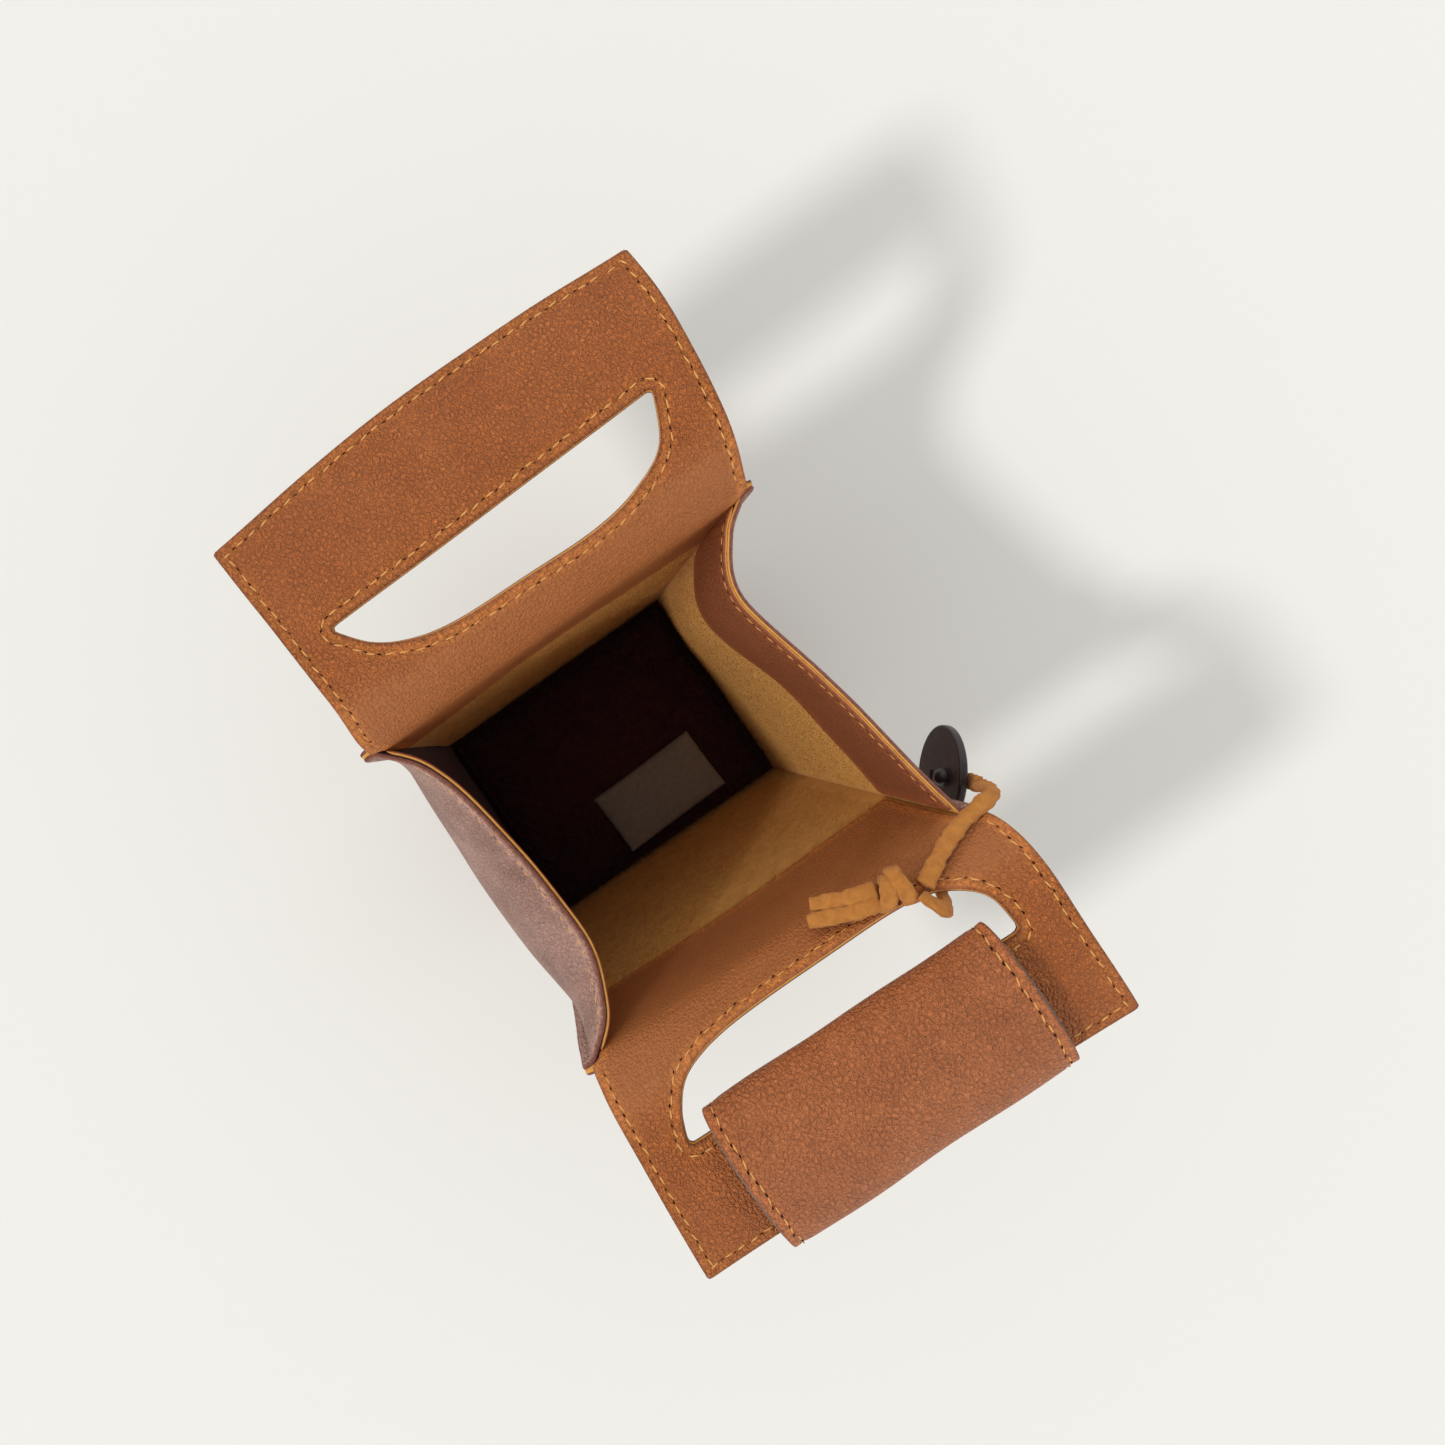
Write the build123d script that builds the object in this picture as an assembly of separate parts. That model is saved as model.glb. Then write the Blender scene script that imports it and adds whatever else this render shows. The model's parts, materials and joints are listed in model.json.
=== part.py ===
"""Open-topped leather camera case with two fold-out handle flaps.

Millimetres, +Z up. The origin is the middle of the underside of the base.
+X runs along the flaps' hinge lines, +Y points to the back flap, -Y to the front
flap, which carries the padded grip. The soft case leans a little towards +X.
"""
from build123d import *
import math
import os

os.makedirs("parts", exist_ok=True)

# ---------------------------------------------------------------- driving sizes
LEATHER = 1.4            # outer leather
FACING = 1.0             # smooth facing leather sewn inside the rim
WALL = LEATHER + FACING
SEAM = 2.5               # seam allowance that stands out past a corner
CLEAR = 0.3              # running gap between pieces that move
THREAD_WIDE = 0.8
THREAD_HIGH = 0.4
STITCH_INSET = 2.5       # stitch line to leather edge
ROW_START = 6.0          # the flaps' edge rows stop this far out from the hinge lines

BASE_WIDE, BASE_DEEP = 104.0, 83.0
BASE_THICK = 1.6
BOARD_THICK = 2.0
PAD_THICK = 5.0
MOUTH_WIDE, MOUTH_DEEP = 111.0, 96.0
MOUTH_HIGH = 128.0       # height of both hinge lines
LEAN_X, LEAN_Y = 14.0, -6.0
HINGE_GAP = 1.5          # wall tops stop this far below the hinge lines
FACING_DEEP = 35.0       # facing band, measured down from the mouth
SCOOP = 8.0              # gusset rims dip this far below the corners

# flap line from the hinge outwards: steep root, tight curl, long easy droop
ROOT_ANGLE = 58.0
ROOT_RUN = 6.0
CURL_RADIUS, CURL_TURN = 20.0, 50.0
DROOP_RADIUS, DROOP_TURN = 120.0, 30.0
FLAP_LEFT, FLAP_RIGHT = -41.0, 72.5
FLAP_CORNER = 6.0
BACK_REACH, FRONT_REACH = 54.5, 51.0
EDGE_BOW = 3.0           # the back flap's outer edge bows out

# grip on the front strap
GRIP_LONG, GRIP_WIDE = 77.0, 37.5
GRIP_LEFT = -22.5
GRIP_CROWN, GRIP_BELLY = 7.8, 5.6
GRIP_LEATHER = 1.5
GRIP_LINING = 0.8
GRIP_AT = 34.7           # middle of the grip, outwards from the front hinge line
CLOSURE_HINGE = 13.0     # from the grip's middle to the fold of its closure
FOLD_GAP = 0.5
SNAP_SPACING = 48.0
SNAP_AT = -9.0

# lace, toggle and sachet
LACE = 3.3
DISC_RADIUS, DISC_THICK = 14.0, 2.2
SACHET_LONG, SACHET_WIDE, SACHET_HIGH = 46.0, 26.0, 3.0

# ---------------------------------------------------------------- worked out
MOUTH_LEFT = LEAN_X - MOUTH_WIDE / 2
MOUTH_RIGHT = LEAN_X + MOUTH_WIDE / 2
BACK_HINGE = LEAN_Y + MOUTH_DEEP / 2
FRONT_HINGE = LEAN_Y - MOUTH_DEEP / 2
WALL_TOP = MOUTH_HIGH - HINGE_GAP
WALL_SPARE = 3.0         # walls are drawn this far past the base's top, and cut level with it
WALL_FOOT = BASE_THICK - WALL_SPARE
OUTSIDE = WALL / 2       # leather face, outwards from a wall's middle
LAYER = OUTSIDE - LEATHER
INSIDE = -WALL / 2
FLOOR = BASE_THICK + BOARD_THICK + PAD_THICK


def save(name, shape):
    shape.label = name
    export_step(shape, f"parts/{name}.step")


def between(low, high, share):
    return low + (high - low) * share


def rise_share(z):
    """How far z lies from the base's top to the hinge line, 0 to 1."""
    return (z - BASE_THICK) / (MOUTH_HIGH - BASE_THICK)


def wall_y(side, z):
    """Middle of the back (+1) or front (-1) wall at height z."""
    top = BACK_HINGE if side > 0 else FRONT_HINGE
    return between(side * BASE_DEEP / 2, top, rise_share(z))


def corner_x(side, z):
    """Corner line of the right (+1) or left (-1) gusset at height z."""
    top = MOUTH_RIGHT if side > 0 else MOUTH_LEFT
    return between(side * BASE_WIDE / 2, top, rise_share(z))


# ---------------------------------------------------------------- flat walls
def wall_plane(side):
    """Plane of a wall's middle: its x is X, its y climbs the wall."""
    climb = Vector(0, wall_y(side, MOUTH_HIGH) - wall_y(side, BASE_THICK), MOUTH_HIGH - BASE_THICK)
    normal = Vector(1, 0, 0).cross(climb)
    return Plane(origin=(0, wall_y(side, BASE_THICK), BASE_THICK), x_dir=(1, 0, 0), z_dir=normal)


def wall_plate(side, corners, low, high):
    """A plate in a wall: corners are (x, z), low and high are outward from its middle."""
    plane = wall_plane(side)
    stretch = math.hypot(wall_y(side, MOUTH_HIGH) - wall_y(side, BASE_THICK), MOUTH_HIGH - BASE_THICK)
    stretch /= MOUTH_HIGH - BASE_THICK
    outline = [(x, (z - BASE_THICK) * stretch) for x, z in corners]
    start = -high if side > 0 else low
    face = make_face(Polyline(*outline, close=True))
    plate = plane * (Pos(0, 0, start) * extrude(face, high - low, dir=(0, 0, 1)))
    under = Box(3 * BASE_WIDE, 3 * BASE_DEEP, 2 * WALL_SPARE, align=(Align.CENTER, Align.CENTER, Align.MAX))
    return plate - Pos(0, 0, BASE_THICK) * under


def seam_band(side, hand, inner, outer, low, high):
    """A strip of a wall along one corner line, from inner to outer past that line."""
    corners = []
    for z, reach in ((WALL_FOOT, inner), (WALL_FOOT, outer), (WALL_TOP, outer), (WALL_TOP, inner)):
        corners.append((corner_x(hand, z) + hand * reach, z))
    return wall_plate(side, corners, low, high)


def face_panel(side):
    corners = [
        (corner_x(-1, WALL_FOOT) - SEAM, WALL_FOOT),
        (corner_x(1, WALL_FOOT) + SEAM, WALL_FOOT),
        (corner_x(1, WALL_TOP) + SEAM, WALL_TOP),
        (corner_x(-1, WALL_TOP) - SEAM, WALL_TOP),
    ]
    return wall_plate(side, corners, LAYER, OUTSIDE)


def face_facing(side):
    inset = WALL + CLEAR
    bottom = MOUTH_HIGH - FACING_DEEP
    corners = [
        (corner_x(-1, bottom) + inset, bottom),
        (corner_x(1, bottom) - inset, bottom),
        (corner_x(1, WALL_TOP) - inset, WALL_TOP),
        (corner_x(-1, WALL_TOP) + inset, WALL_TOP),
    ]
    return wall_plate(side, corners, INSIDE, LAYER)


# ---------------------------------------------------------------- gussets
# (height share, inward fold of the middle) and (depth share, share of the fold)
RIGHT_FOLD = ((0.0, 0.0), (0.27, 7.0), (0.55, 12.0), (0.8, 13.5), (1.0, 12.0))
RIGHT_SHAPE = ((0.25, 0.2), (0.5, 0.45), (0.78, 1.0), (0.93, 0.6))
LEFT_FOLD = ((0.0, 0.0), (0.35, -3.0), (0.66, -5.0), (0.82, 3.0), (0.92, 13.0), (1.0, 20.5))
LEFT_SHAPE = ((0.1, 0.55), (0.3, 1.0), (0.65, 0.85), (0.88, 0.45))
GUSSETS = {"left": (-1, LEFT_FOLD, LEFT_SHAPE), "right": (1, RIGHT_FOLD, RIGHT_SHAPE)}


def gusset_line(hand, z, fold, shape, depth):
    """Gusset's line at height z, depth inwards from its outer face."""
    seat = LAYER - LEATHER / 2
    front = wall_y(-1, z) - seat
    back = wall_y(1, z) + seat
    x = corner_x(hand, z)
    inward = -hand
    points = [(x + inward * depth, front)]
    for share, part in shape:
        points.append((x + inward * (depth + fold * part), between(front, back, share)))
    points.append((x + inward * depth, back))
    return points


def gusset_shell(side_name, outer, inner):
    """Lofted wall of a gusset between two depths from its outer face."""
    hand, folds, shape = GUSSETS[side_name]
    sections = []
    for share, fold in folds:
        z = between(BASE_THICK, WALL_TOP, share)
        near = Spline(*gusset_line(hand, z, fold, shape, outer))
        far = Spline(*gusset_line(hand, z, fold, shape, inner))
        ends = [Line(near @ 0, far @ 0), Line(near @ 1, far @ 1)]
        sections.append(Pos(0, 0, z) * make_face([near, far] + ends))
    return loft(sections)


def rim_cutter(drop, height):
    """Everything within height above the scooped rim line, which lies drop below its top."""
    front = wall_y(-1, WALL_TOP) + WALL
    back = wall_y(1, WALL_TOP) - WALL
    middle = (front + back) / 2
    top = WALL_TOP - drop
    scoop = ThreePointArc((front, top), (middle, top - SCOOP), (back, top))
    edges = Polyline((back, top), (back + SCOOP, top), (back + SCOOP, top + height),
                     (front - SCOOP, top + height), (front - SCOOP, top), (front, top))
    face = Plane.YZ * make_face([scoop, edges])
    return extrude(face, 2 * MOUTH_WIDE, both=True)


def gusset(side_name):
    hand = GUSSETS[side_name][0]
    body = gusset_shell(side_name, 0, LEATHER) - rim_cutter(0, 2 * SCOOP)
    for side in (-1, 1):
        body += seam_band(side, hand, -LEATHER, SEAM, LAYER - LEATHER, LAYER)
    return body


def gusset_band(side_name, outer, inner, top_drop, depth):
    """Part of a gusset's wall between the rim line and a line depth below it."""
    shell = gusset_shell(side_name, outer, inner)
    shell -= rim_cutter(top_drop, 3 * SCOOP)
    floor_z = WALL_TOP - top_drop - depth
    front = wall_y(-1, floor_z)
    back = wall_y(1, floor_z)
    keep = Box(3 * MOUTH_WIDE, back - front - 2 * WALL, MOUTH_HIGH, align=(Align.CENTER, Align.CENTER, Align.MIN))
    keep = Pos(0, (front + back) / 2, floor_z) * keep
    return shell & keep


# ---------------------------------------------------------------- flaps
def flap_line(side, offset):
    """A flap's line in the YZ plane, moved by offset to its upper side."""
    hinge = BACK_HINGE if side > 0 else FRONT_HINGE
    turn = math.radians(ROOT_ANGLE)
    start = Vector(hinge - side * offset * math.sin(turn), MOUTH_HIGH + offset * math.cos(turn))
    root = PolarLine(start, ROOT_RUN, direction=(side * math.cos(turn), math.sin(turn)))
    curl = JernArc(root @ 1, root % 1, CURL_RADIUS + offset, -side * CURL_TURN)
    droop = JernArc(curl @ 1, curl % 1, DROOP_RADIUS + offset, -side * DROOP_TURN)
    return [root, curl, droop]


def flap_sheet(side, low, high, left, right):
    """A curved sheet that follows the flap, between two offsets from its middle."""
    bottom = flap_line(side, low)
    top = flap_line(side, high)
    ends = [Line(bottom[0] @ 0, top[0] @ 0), Line(bottom[-1] @ 1, top[-1] @ 1)]
    face = Plane.YZ * make_face(bottom + top + ends)
    return Pos(left, 0, 0) * extrude(face, right - left, dir=(1, 0, 0))


def flap_outline(side, inset):
    """Plan of a flap, drawn from above."""
    hinge = BACK_HINGE if side > 0 else FRONT_HINGE
    reach = BACK_REACH if side > 0 else FRONT_REACH
    bow = EDGE_BOW if side > 0 else 0.0
    root = hinge - side * 2 * WALL
    edge = hinge + side * (reach - inset)
    middle = (FLAP_LEFT + FLAP_RIGHT) / 2
    left = ThreePointArc((MOUTH_LEFT + inset, root), (FLAP_LEFT + 2.0 + inset, (root + edge) / 2),
                         (FLAP_LEFT + inset, edge))
    right = ThreePointArc((MOUTH_RIGHT - inset, root), (FLAP_RIGHT - 0.5 - inset, (root + edge) / 2),
                          (FLAP_RIGHT - inset, edge))
    if bow:
        outer = ThreePointArc(left @ 1, (middle, edge + side * bow), right @ 1)
    else:
        outer = Line(left @ 1, right @ 1)
    face = make_face([left, outer, right, Line(right @ 0, left @ 0)])
    far = face.vertices().sort_by(Axis.Y)
    corners = far[-2:] if side > 0 else far[:2]
    return fillet(corners, FLAP_CORNER - inset / 2)


BACK_HAND_HOLE = ((-27.5, 68.5), (-22.0, 54.0), (53.0, 52.5), (60.5, 68.5))
FRONT_HAND_HOLE = ((-29.0, -77.5), (-25.0, -61.5), (57.0, -60.0), (60.5, -77.5))
STRAP_CORNER, CURVE_CORNER = 3.0, 9.0


def hand_hole(side, grow):
    """Plan of the D-shaped hand hole, grown by grow for its stitch line."""
    corners = BACK_HAND_HOLE if side > 0 else FRONT_HAND_HOLE
    face = make_face(Polyline(*corners, close=True))
    ranked = face.vertices().sort_by(Axis.Y)
    near, far = (ranked[:2], ranked[2:]) if side > 0 else (ranked[2:], ranked[:2])
    face = fillet(near, CURVE_CORNER)
    far = face.vertices().group_by(Axis.Y)[-1 if side > 0 else 0]
    face = fillet(far, STRAP_CORNER)
    return offset(face, grow) if grow else face


def drop_cut(face, z_low=MOUTH_HIGH - 20, height=60):
    return Pos(0, 0, z_low) * extrude(face, height, dir=(0, 0, 1))


def flap_layer(side, low, high):
    sheet = flap_sheet(side, low, high, FLAP_LEFT - 10, FLAP_RIGHT + 10)
    sheet = sheet & drop_cut(flap_outline(side, 0))
    return sheet - drop_cut(hand_hole(side, 0))


def flap_threads(side):
    """Two stitch lines on a flap's upper face: round its edge and round the hand hole."""
    inner = STITCH_INSET + THREAD_WIDE
    bead = flap_sheet(side, OUTSIDE, OUTSIDE + THREAD_HIGH, FLAP_LEFT - 10, FLAP_RIGHT + 10)
    edge_ring = flap_outline(side, STITCH_INSET) - flap_outline(side, inner)
    hole_ring = hand_hole(side, inner) - hand_hole(side, STITCH_INSET)
    hinge = BACK_HINGE if side > 0 else FRONT_HINGE
    edge_ring -= Pos(0, hinge) * Rectangle(4 * MOUTH_WIDE, 2 * ROW_START)
    edge_row = bead & drop_cut(edge_ring)
    hole_row = bead & drop_cut(hole_ring)
    return [edge_row, hole_row]


# ---------------------------------------------------------------- grip
def strap_height(reach):
    """Height of the flap's middle and its slope at a distance out from the hinge."""
    root = math.radians(ROOT_ANGLE)
    flat = math.radians(ROOT_ANGLE - CURL_TURN)
    out = ROOT_RUN * math.cos(root) + CURL_RADIUS * (math.sin(root) - math.sin(flat))
    up = ROOT_RUN * math.sin(root) + CURL_RADIUS * (math.cos(flat) - math.cos(root))
    heading = math.asin(math.sin(flat) - (reach - out) / DROOP_RADIUS)
    return MOUTH_HIGH + up + DROOP_RADIUS * (math.cos(heading) - math.cos(flat)), math.degrees(heading)


GRIP_Z, GRIP_SLOPE = strap_height(GRIP_AT)
GRIP_Y = FRONT_HINGE - GRIP_AT
GRIP_MIDDLE = GRIP_LEFT + GRIP_LONG / 2
# in the grip's own plane, x points out along the strap's slope and y points up
GRIP_PLANE = Plane(origin=(GRIP_MIDDLE, GRIP_Y, GRIP_Z), x_dir=(0, -math.cos(math.radians(GRIP_SLOPE)),
                   math.sin(math.radians(GRIP_SLOPE))), z_dir=(-1, 0, 0))


def grip_section(skin):
    """Section of the grip, skin in from its outer face: crowned above, flat below."""
    half = GRIP_WIDE / 2 - skin
    crown = GRIP_CROWN - skin
    belly = GRIP_BELLY - skin
    upper = EllipticalCenterArc((0, 0), half, crown, 0, arc_size=180)
    bend = belly
    left = CenterArc((-half + bend, 0), bend, 180, 90)
    right = CenterArc((half - bend, 0), bend, 270, 90)
    return make_face([upper, left, Line(left @ 1, right @ 0), right])


def window(x_low, x_high, y_low, y_high):
    return Pos((x_low + x_high) / 2, (y_low + y_high) / 2) * Rectangle(x_high - x_low, y_high - y_low)


def along_grip(section, trim=0.0):
    return GRIP_PLANE * extrude(section, GRIP_LONG / 2 - trim, both=True)


TAB_GAP = 0.5
TAB_THICK = 1.1
TAB_END = -3.0
LEAF_END = -14.5
REACH = GRIP_WIDE


def grip_pieces():
    shell = grip_section(0) - grip_section(GRIP_LEATHER)
    leaf_zone = window(LEAF_END, CLOSURE_HINGE, -REACH, 0)
    cover = shell - window(LEAF_END - CLEAR, CLOSURE_HINGE + FOLD_GAP, -REACH, 0)
    tab_skin = GRIP_LEATHER + TAB_GAP
    tab = (grip_section(tab_skin) - grip_section(tab_skin + TAB_THICK)) & window(-REACH, TAB_END, -REACH, 0)
    bridge = (grip_section(GRIP_LEATHER) - grip_section(tab_skin)) & window(-REACH, LEAF_END - CLEAR, -REACH, 0)
    cover = along_grip(cover + tab + bridge)
    closure = along_grip(shell & leaf_zone)
    lining = (grip_section(GRIP_LEATHER) - grip_section(GRIP_LEATHER + GRIP_LINING)) & window(-REACH, REACH, 0, REACH)
    padding = grip_section(GRIP_LEATHER + GRIP_LINING) & window(-REACH, REACH, 2.4, REACH)
    return cover, closure, along_grip(lining), along_grip(padding, 1.0)


def grip_threads():
    """A stitch row round the crown near each end of the grip."""
    ring = grip_section(-THREAD_HIGH) - grip_section(0)
    ring = ring & window(-REACH, REACH, 0, REACH)
    rows = []
    for hand in (-1, 1):
        row = extrude(ring, THREAD_WIDE / 2, both=True)
        rows.append(GRIP_PLANE * (Pos(0, 0, hand * (GRIP_LONG / 2 - STITCH_INSET)) * row))
    return rows


SNAP_CAP_RADIUS, SNAP_CAP_HIGH = 5.5, 0.9
SOCKET_RADIUS, SOCKET_BORE = 3.6, 2.4
STUD_RADIUS, STUD_FLANGE = 1.7, 3.2


def snap_spot(along, down):
    """Plane at a snap, down below the grip's middle line, its z pointing down out of the grip."""
    spot = GRIP_PLANE.location * Pos(SNAP_AT, -down, along)
    return Plane(spot) * Rot(90, 0, 0)


def snap_pieces(cover, closure):
    caps, sockets, studs = [], [], []
    leaf_top = GRIP_BELLY - GRIP_LEATHER
    tab_low = leaf_top - TAB_GAP
    tab_top = tab_low - TAB_THICK
    for along in (-SNAP_SPACING / 2, SNAP_SPACING / 2):
        low = (Align.CENTER, Align.CENTER, Align.MIN)
        hole = snap_spot(along, leaf_top - 1) * Cylinder(SOCKET_RADIUS, GRIP_LEATHER + 2, align=low)
        closure -= hole
        socket = Cylinder(SOCKET_RADIUS, GRIP_LEATHER, align=low) - Cylinder(SOCKET_BORE, GRIP_LEATHER, align=low)
        sockets.append(snap_spot(along, leaf_top) * socket)
        cap = Cylinder(SNAP_CAP_RADIUS, SNAP_CAP_HIGH, align=low)
        cap = fillet(cap.edges().sort_by(Axis.Z)[-1], SNAP_CAP_HIGH * 0.6)
        caps.append(snap_spot(along, GRIP_BELLY) * cap)
        neck = Cylinder(STUD_RADIUS, TAB_THICK + TAB_GAP + 1.1, align=low)
        flange = Pos(0, 0, -0.4) * Cylinder(STUD_FLANGE, 0.4, align=low)
        studs.append(snap_spot(along, tab_top) * (neck + flange))
        cover -= snap_spot(along, tab_top) * Cylinder(STUD_RADIUS, TAB_THICK, align=low)
    return cover, closure, caps, sockets, studs


# ---------------------------------------------------------------- lace and toggle
def lace_tube(points, name):
    """Round lace along straight runs joined by tangent arcs; prints its length and bends."""
    radii = []
    for before, here, after in zip(points, points[1:], points[2:]):
        arriving = Vector(*here) - Vector(*before)
        leaving = Vector(*after) - Vector(*here)
        turn = arriving.get_angle(leaving)
        radii.append(0.45 * min(arriving.length, leaving.length) / math.tan(math.radians(turn / 2)))
    path = FilletPolyline(*points, radius=radii)
    start = Plane(origin=path @ 0, z_dir=path % 0)
    tube = sweep(start * Circle(LACE / 2), path=path)
    section = math.pi * (LACE / 2) ** 2
    print(name, "length", round(path.length, 1), "radii", [round(r, 1) for r in radii],
          "volume over section", round(tube.volume / section, 1))
    return tube


LACE_STRAND = ((48.8, -57.0, 139.8), (56.5, -54.3, 136.4), (64.5, -52.5, 133.1), (72.0, -52.3, 130.9))
LACE_DROP = ((72.3, -52.3, 130.8), (76.6, -52.5, 129.1), (79.2, -52.7, 124.6), (79.3, -52.7, 117.2))
LACE_HITCH = ((79.3, -52.7, 116.8), (79.4, -52.8, 110.4), (79.1, -52.5, 107.2), (77.9, -51.6, 106.4))
LACE_LOOP = ((46.8, -58.0, 140.7), (48.4, -62.9, 143.4), (50.8, -64.5, 138.4), (53.0, -61.0, 132.4))
LACE_TAILS = {
    "lace_tail_long": ((38.4, -54.9, 138.6), (33.0, -54.0, 138.4), (27.5, -52.5, 135.8), (22.6, -51.2, 133.6)),
    "lace_tail_short": ((39.4, -51.6, 137.0), (35.0, -49.3, 136.0), (30.8, -48.4, 133.4), (27.4, -47.8, 131.0)),
}
KNOT_AT = (43.0, -54.4, 138.4)
KNOT_SIZE = (4.9, 3.6, 3.0)
DISC_AT = Vector(76.5, -50.5, 102.0)
DISC_FACE = Vector(0.788, -0.616, 0).normalized()
DISC_HOLE = 4.0          # lace holes, from the disc's middle


def toggle_disc():
    """Turned disc with two lace holes; it hangs upright off the front right corner."""
    disc = Cylinder(DISC_RADIUS, DISC_THICK)
    disc = fillet(disc.edges().filter_by(GeomType.CIRCLE), 0.6)
    for x in (DISC_HOLE, -DISC_HOLE):
        disc -= Pos(x, 0, 0) * Cylinder(LACE / 2 - 0.3, 2 * DISC_THICK)
    return Plane(origin=DISC_AT, x_dir=(0, 0, 1), z_dir=DISC_FACE) * disc


def toggle_knot():
    """Stop knot behind the disc's upper hole."""
    seat = DISC_AT - DISC_FACE * (DISC_THICK / 2) + Vector(0, 0, DISC_HOLE)
    ball = Sphere(2.6) & Pos(0, 0, 2.6) * Box(6, 6, 5.2)
    return Plane(origin=seat, x_dir=(0, 0, 1), z_dir=-DISC_FACE) * ball


def lace_knot():
    """Overhand knot drawn up on the flap beside the lace hole."""
    return Pos(KNOT_AT) * Rot(0, 8, -20) * scale(Sphere(1), by=KNOT_SIZE)


# ================================================================ build the case
base_outline = RectangleRounded(BASE_WIDE + 2 * SEAM, BASE_DEEP + 2 * SEAM, 2.5)
save("base_panel", extrude(base_outline, BASE_THICK))
board_outline = RectangleRounded(BASE_WIDE - 2 * WALL, BASE_DEEP - 2 * WALL, 4)
save("base_board", Pos(0, 0, BASE_THICK) * extrude(board_outline, BOARD_THICK))
pad = extrude(RectangleRounded(BASE_WIDE - 3 * WALL, BASE_DEEP - 3 * WALL, 5), PAD_THICK)
pad = fillet(pad.edges().group_by(Axis.Z)[-1], 1.8)
save("base_pad", Pos(0, 0, BASE_THICK + BOARD_THICK) * pad)


for side, label in ((1, "back"), (-1, "front")):
    save(f"{label}_panel", face_panel(side))
    save(f"{label}_facing", face_facing(side))
    save(f"{label}_flap_outer", flap_layer(side, -OUTSIDE, -LAYER))
    save(f"{label}_flap_facing", flap_layer(side, -LAYER, OUTSIDE))
    save(f"{label}_flap_stitching", Compound(flap_threads(side)))

for label in ("left", "right"):
    save(f"{label}_gusset", gusset(label))
    save(f"{label}_gusset_facing", gusset_band(label, LEATHER, WALL, 0, FACING_DEEP - HINGE_GAP))

corner_rows = []
for side in (-1, 1):
    for hand in (-1, 1):
        corner_rows.append(seam_band(side, hand, 0.8, 0.8 + THREAD_WIDE, OUTSIDE, OUTSIDE + THREAD_HIGH))
save("corner_stitching", Compound(corner_rows))

grip_cover, grip_closure, grip_lining, grip_padding = grip_pieces()
grip_cover, grip_closure, snap_caps, snap_sockets, snap_studs = snap_pieces(grip_cover, grip_closure)
save("grip_cover", grip_cover)
save("grip_closure", grip_closure)
save("grip_lining", grip_lining)
save("grip_padding", grip_padding)
save("grip_stitching", Compound(grip_threads()))
save("snap_caps", Compound(snap_caps))
save("snap_sockets", Compound(snap_sockets))
save("snap_studs", Compound(snap_studs))

save("lace_strand", lace_tube(LACE_STRAND, "lace_strand"))
save("lace_drop", lace_tube(LACE_DROP, "lace_drop"))
save("lace_knot", lace_knot())
save("lace_hitch", lace_tube(LACE_HITCH, "lace_hitch"))
save("lace_loop", lace_tube(LACE_LOOP, "lace_loop"))
for label, points in LACE_TAILS.items():
    save(label, lace_tube(points, label))
save("toggle_disc", toggle_disc())
save("toggle_knot", toggle_knot())

sachet = extrude(RectangleRounded(SACHET_LONG, SACHET_WIDE, 1.5), SACHET_HIGH)
sachet = fillet(sachet.edges().group_by(Axis.Z)[-1], 1.0)
save("desiccant_sachet", Pos(8, -22, FLOOR + 0.2) * Rot(0, 0, 2) * sachet)
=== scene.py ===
"""Looks of the open-topped leather camera case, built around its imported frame."""
import json
import math

import bpy
import numpy as np
from mathutils import Matrix, Vector
from mathutils.geometry import delaunay_2d_cdt


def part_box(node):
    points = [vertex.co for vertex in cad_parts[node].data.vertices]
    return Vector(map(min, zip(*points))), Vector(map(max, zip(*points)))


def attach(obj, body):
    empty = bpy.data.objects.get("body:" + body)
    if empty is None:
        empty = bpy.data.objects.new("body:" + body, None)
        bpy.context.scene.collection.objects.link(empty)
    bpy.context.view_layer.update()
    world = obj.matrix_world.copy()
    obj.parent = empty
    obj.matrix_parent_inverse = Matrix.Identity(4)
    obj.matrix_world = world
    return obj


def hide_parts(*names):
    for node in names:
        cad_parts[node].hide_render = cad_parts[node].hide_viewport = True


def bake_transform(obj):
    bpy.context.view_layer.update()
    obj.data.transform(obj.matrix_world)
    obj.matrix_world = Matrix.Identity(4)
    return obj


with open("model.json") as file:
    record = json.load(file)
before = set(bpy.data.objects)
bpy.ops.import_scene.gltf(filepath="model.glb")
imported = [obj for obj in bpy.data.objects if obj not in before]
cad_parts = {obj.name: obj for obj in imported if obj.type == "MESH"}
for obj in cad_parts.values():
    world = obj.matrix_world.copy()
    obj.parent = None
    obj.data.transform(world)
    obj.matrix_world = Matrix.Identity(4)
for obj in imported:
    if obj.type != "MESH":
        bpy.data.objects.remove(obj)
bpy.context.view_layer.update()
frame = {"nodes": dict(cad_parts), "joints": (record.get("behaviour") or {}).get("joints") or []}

MM = 0.001
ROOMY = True

# ------------------------------------------------------------------ sizes, in mm
LEATHER, FACING = 1.4, 1.0
WALL = LEATHER + FACING
HALF = WALL / 2                # walls and flaps are laid out about their middle
LAYER = HALF - FACING          # face between leather and facing, on the inner side
PLUMP = 0.1                    # hide swells this much past the plates that stand in for it
OUTER_FACE = -HALF - PLUMP
SEAM = 2.5                     # seam allowance past a corner
STITCH_INSET = 2.4
STITCH_PITCH = 3.6
SEAM_ROW = 1.1                 # corner stitches, outwards from the corner line
ROW_START = 4.0                # flap edge rows stop this far out from the hinge
ACROSS = 94.0                  # gusset between its corner lines, as its pattern is laid out
FACING_DEEP = 35.0
SCOOP = 8.0
LACE = 4.0
KEY_POWER = 25.2               # strength of the key lamp
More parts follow.
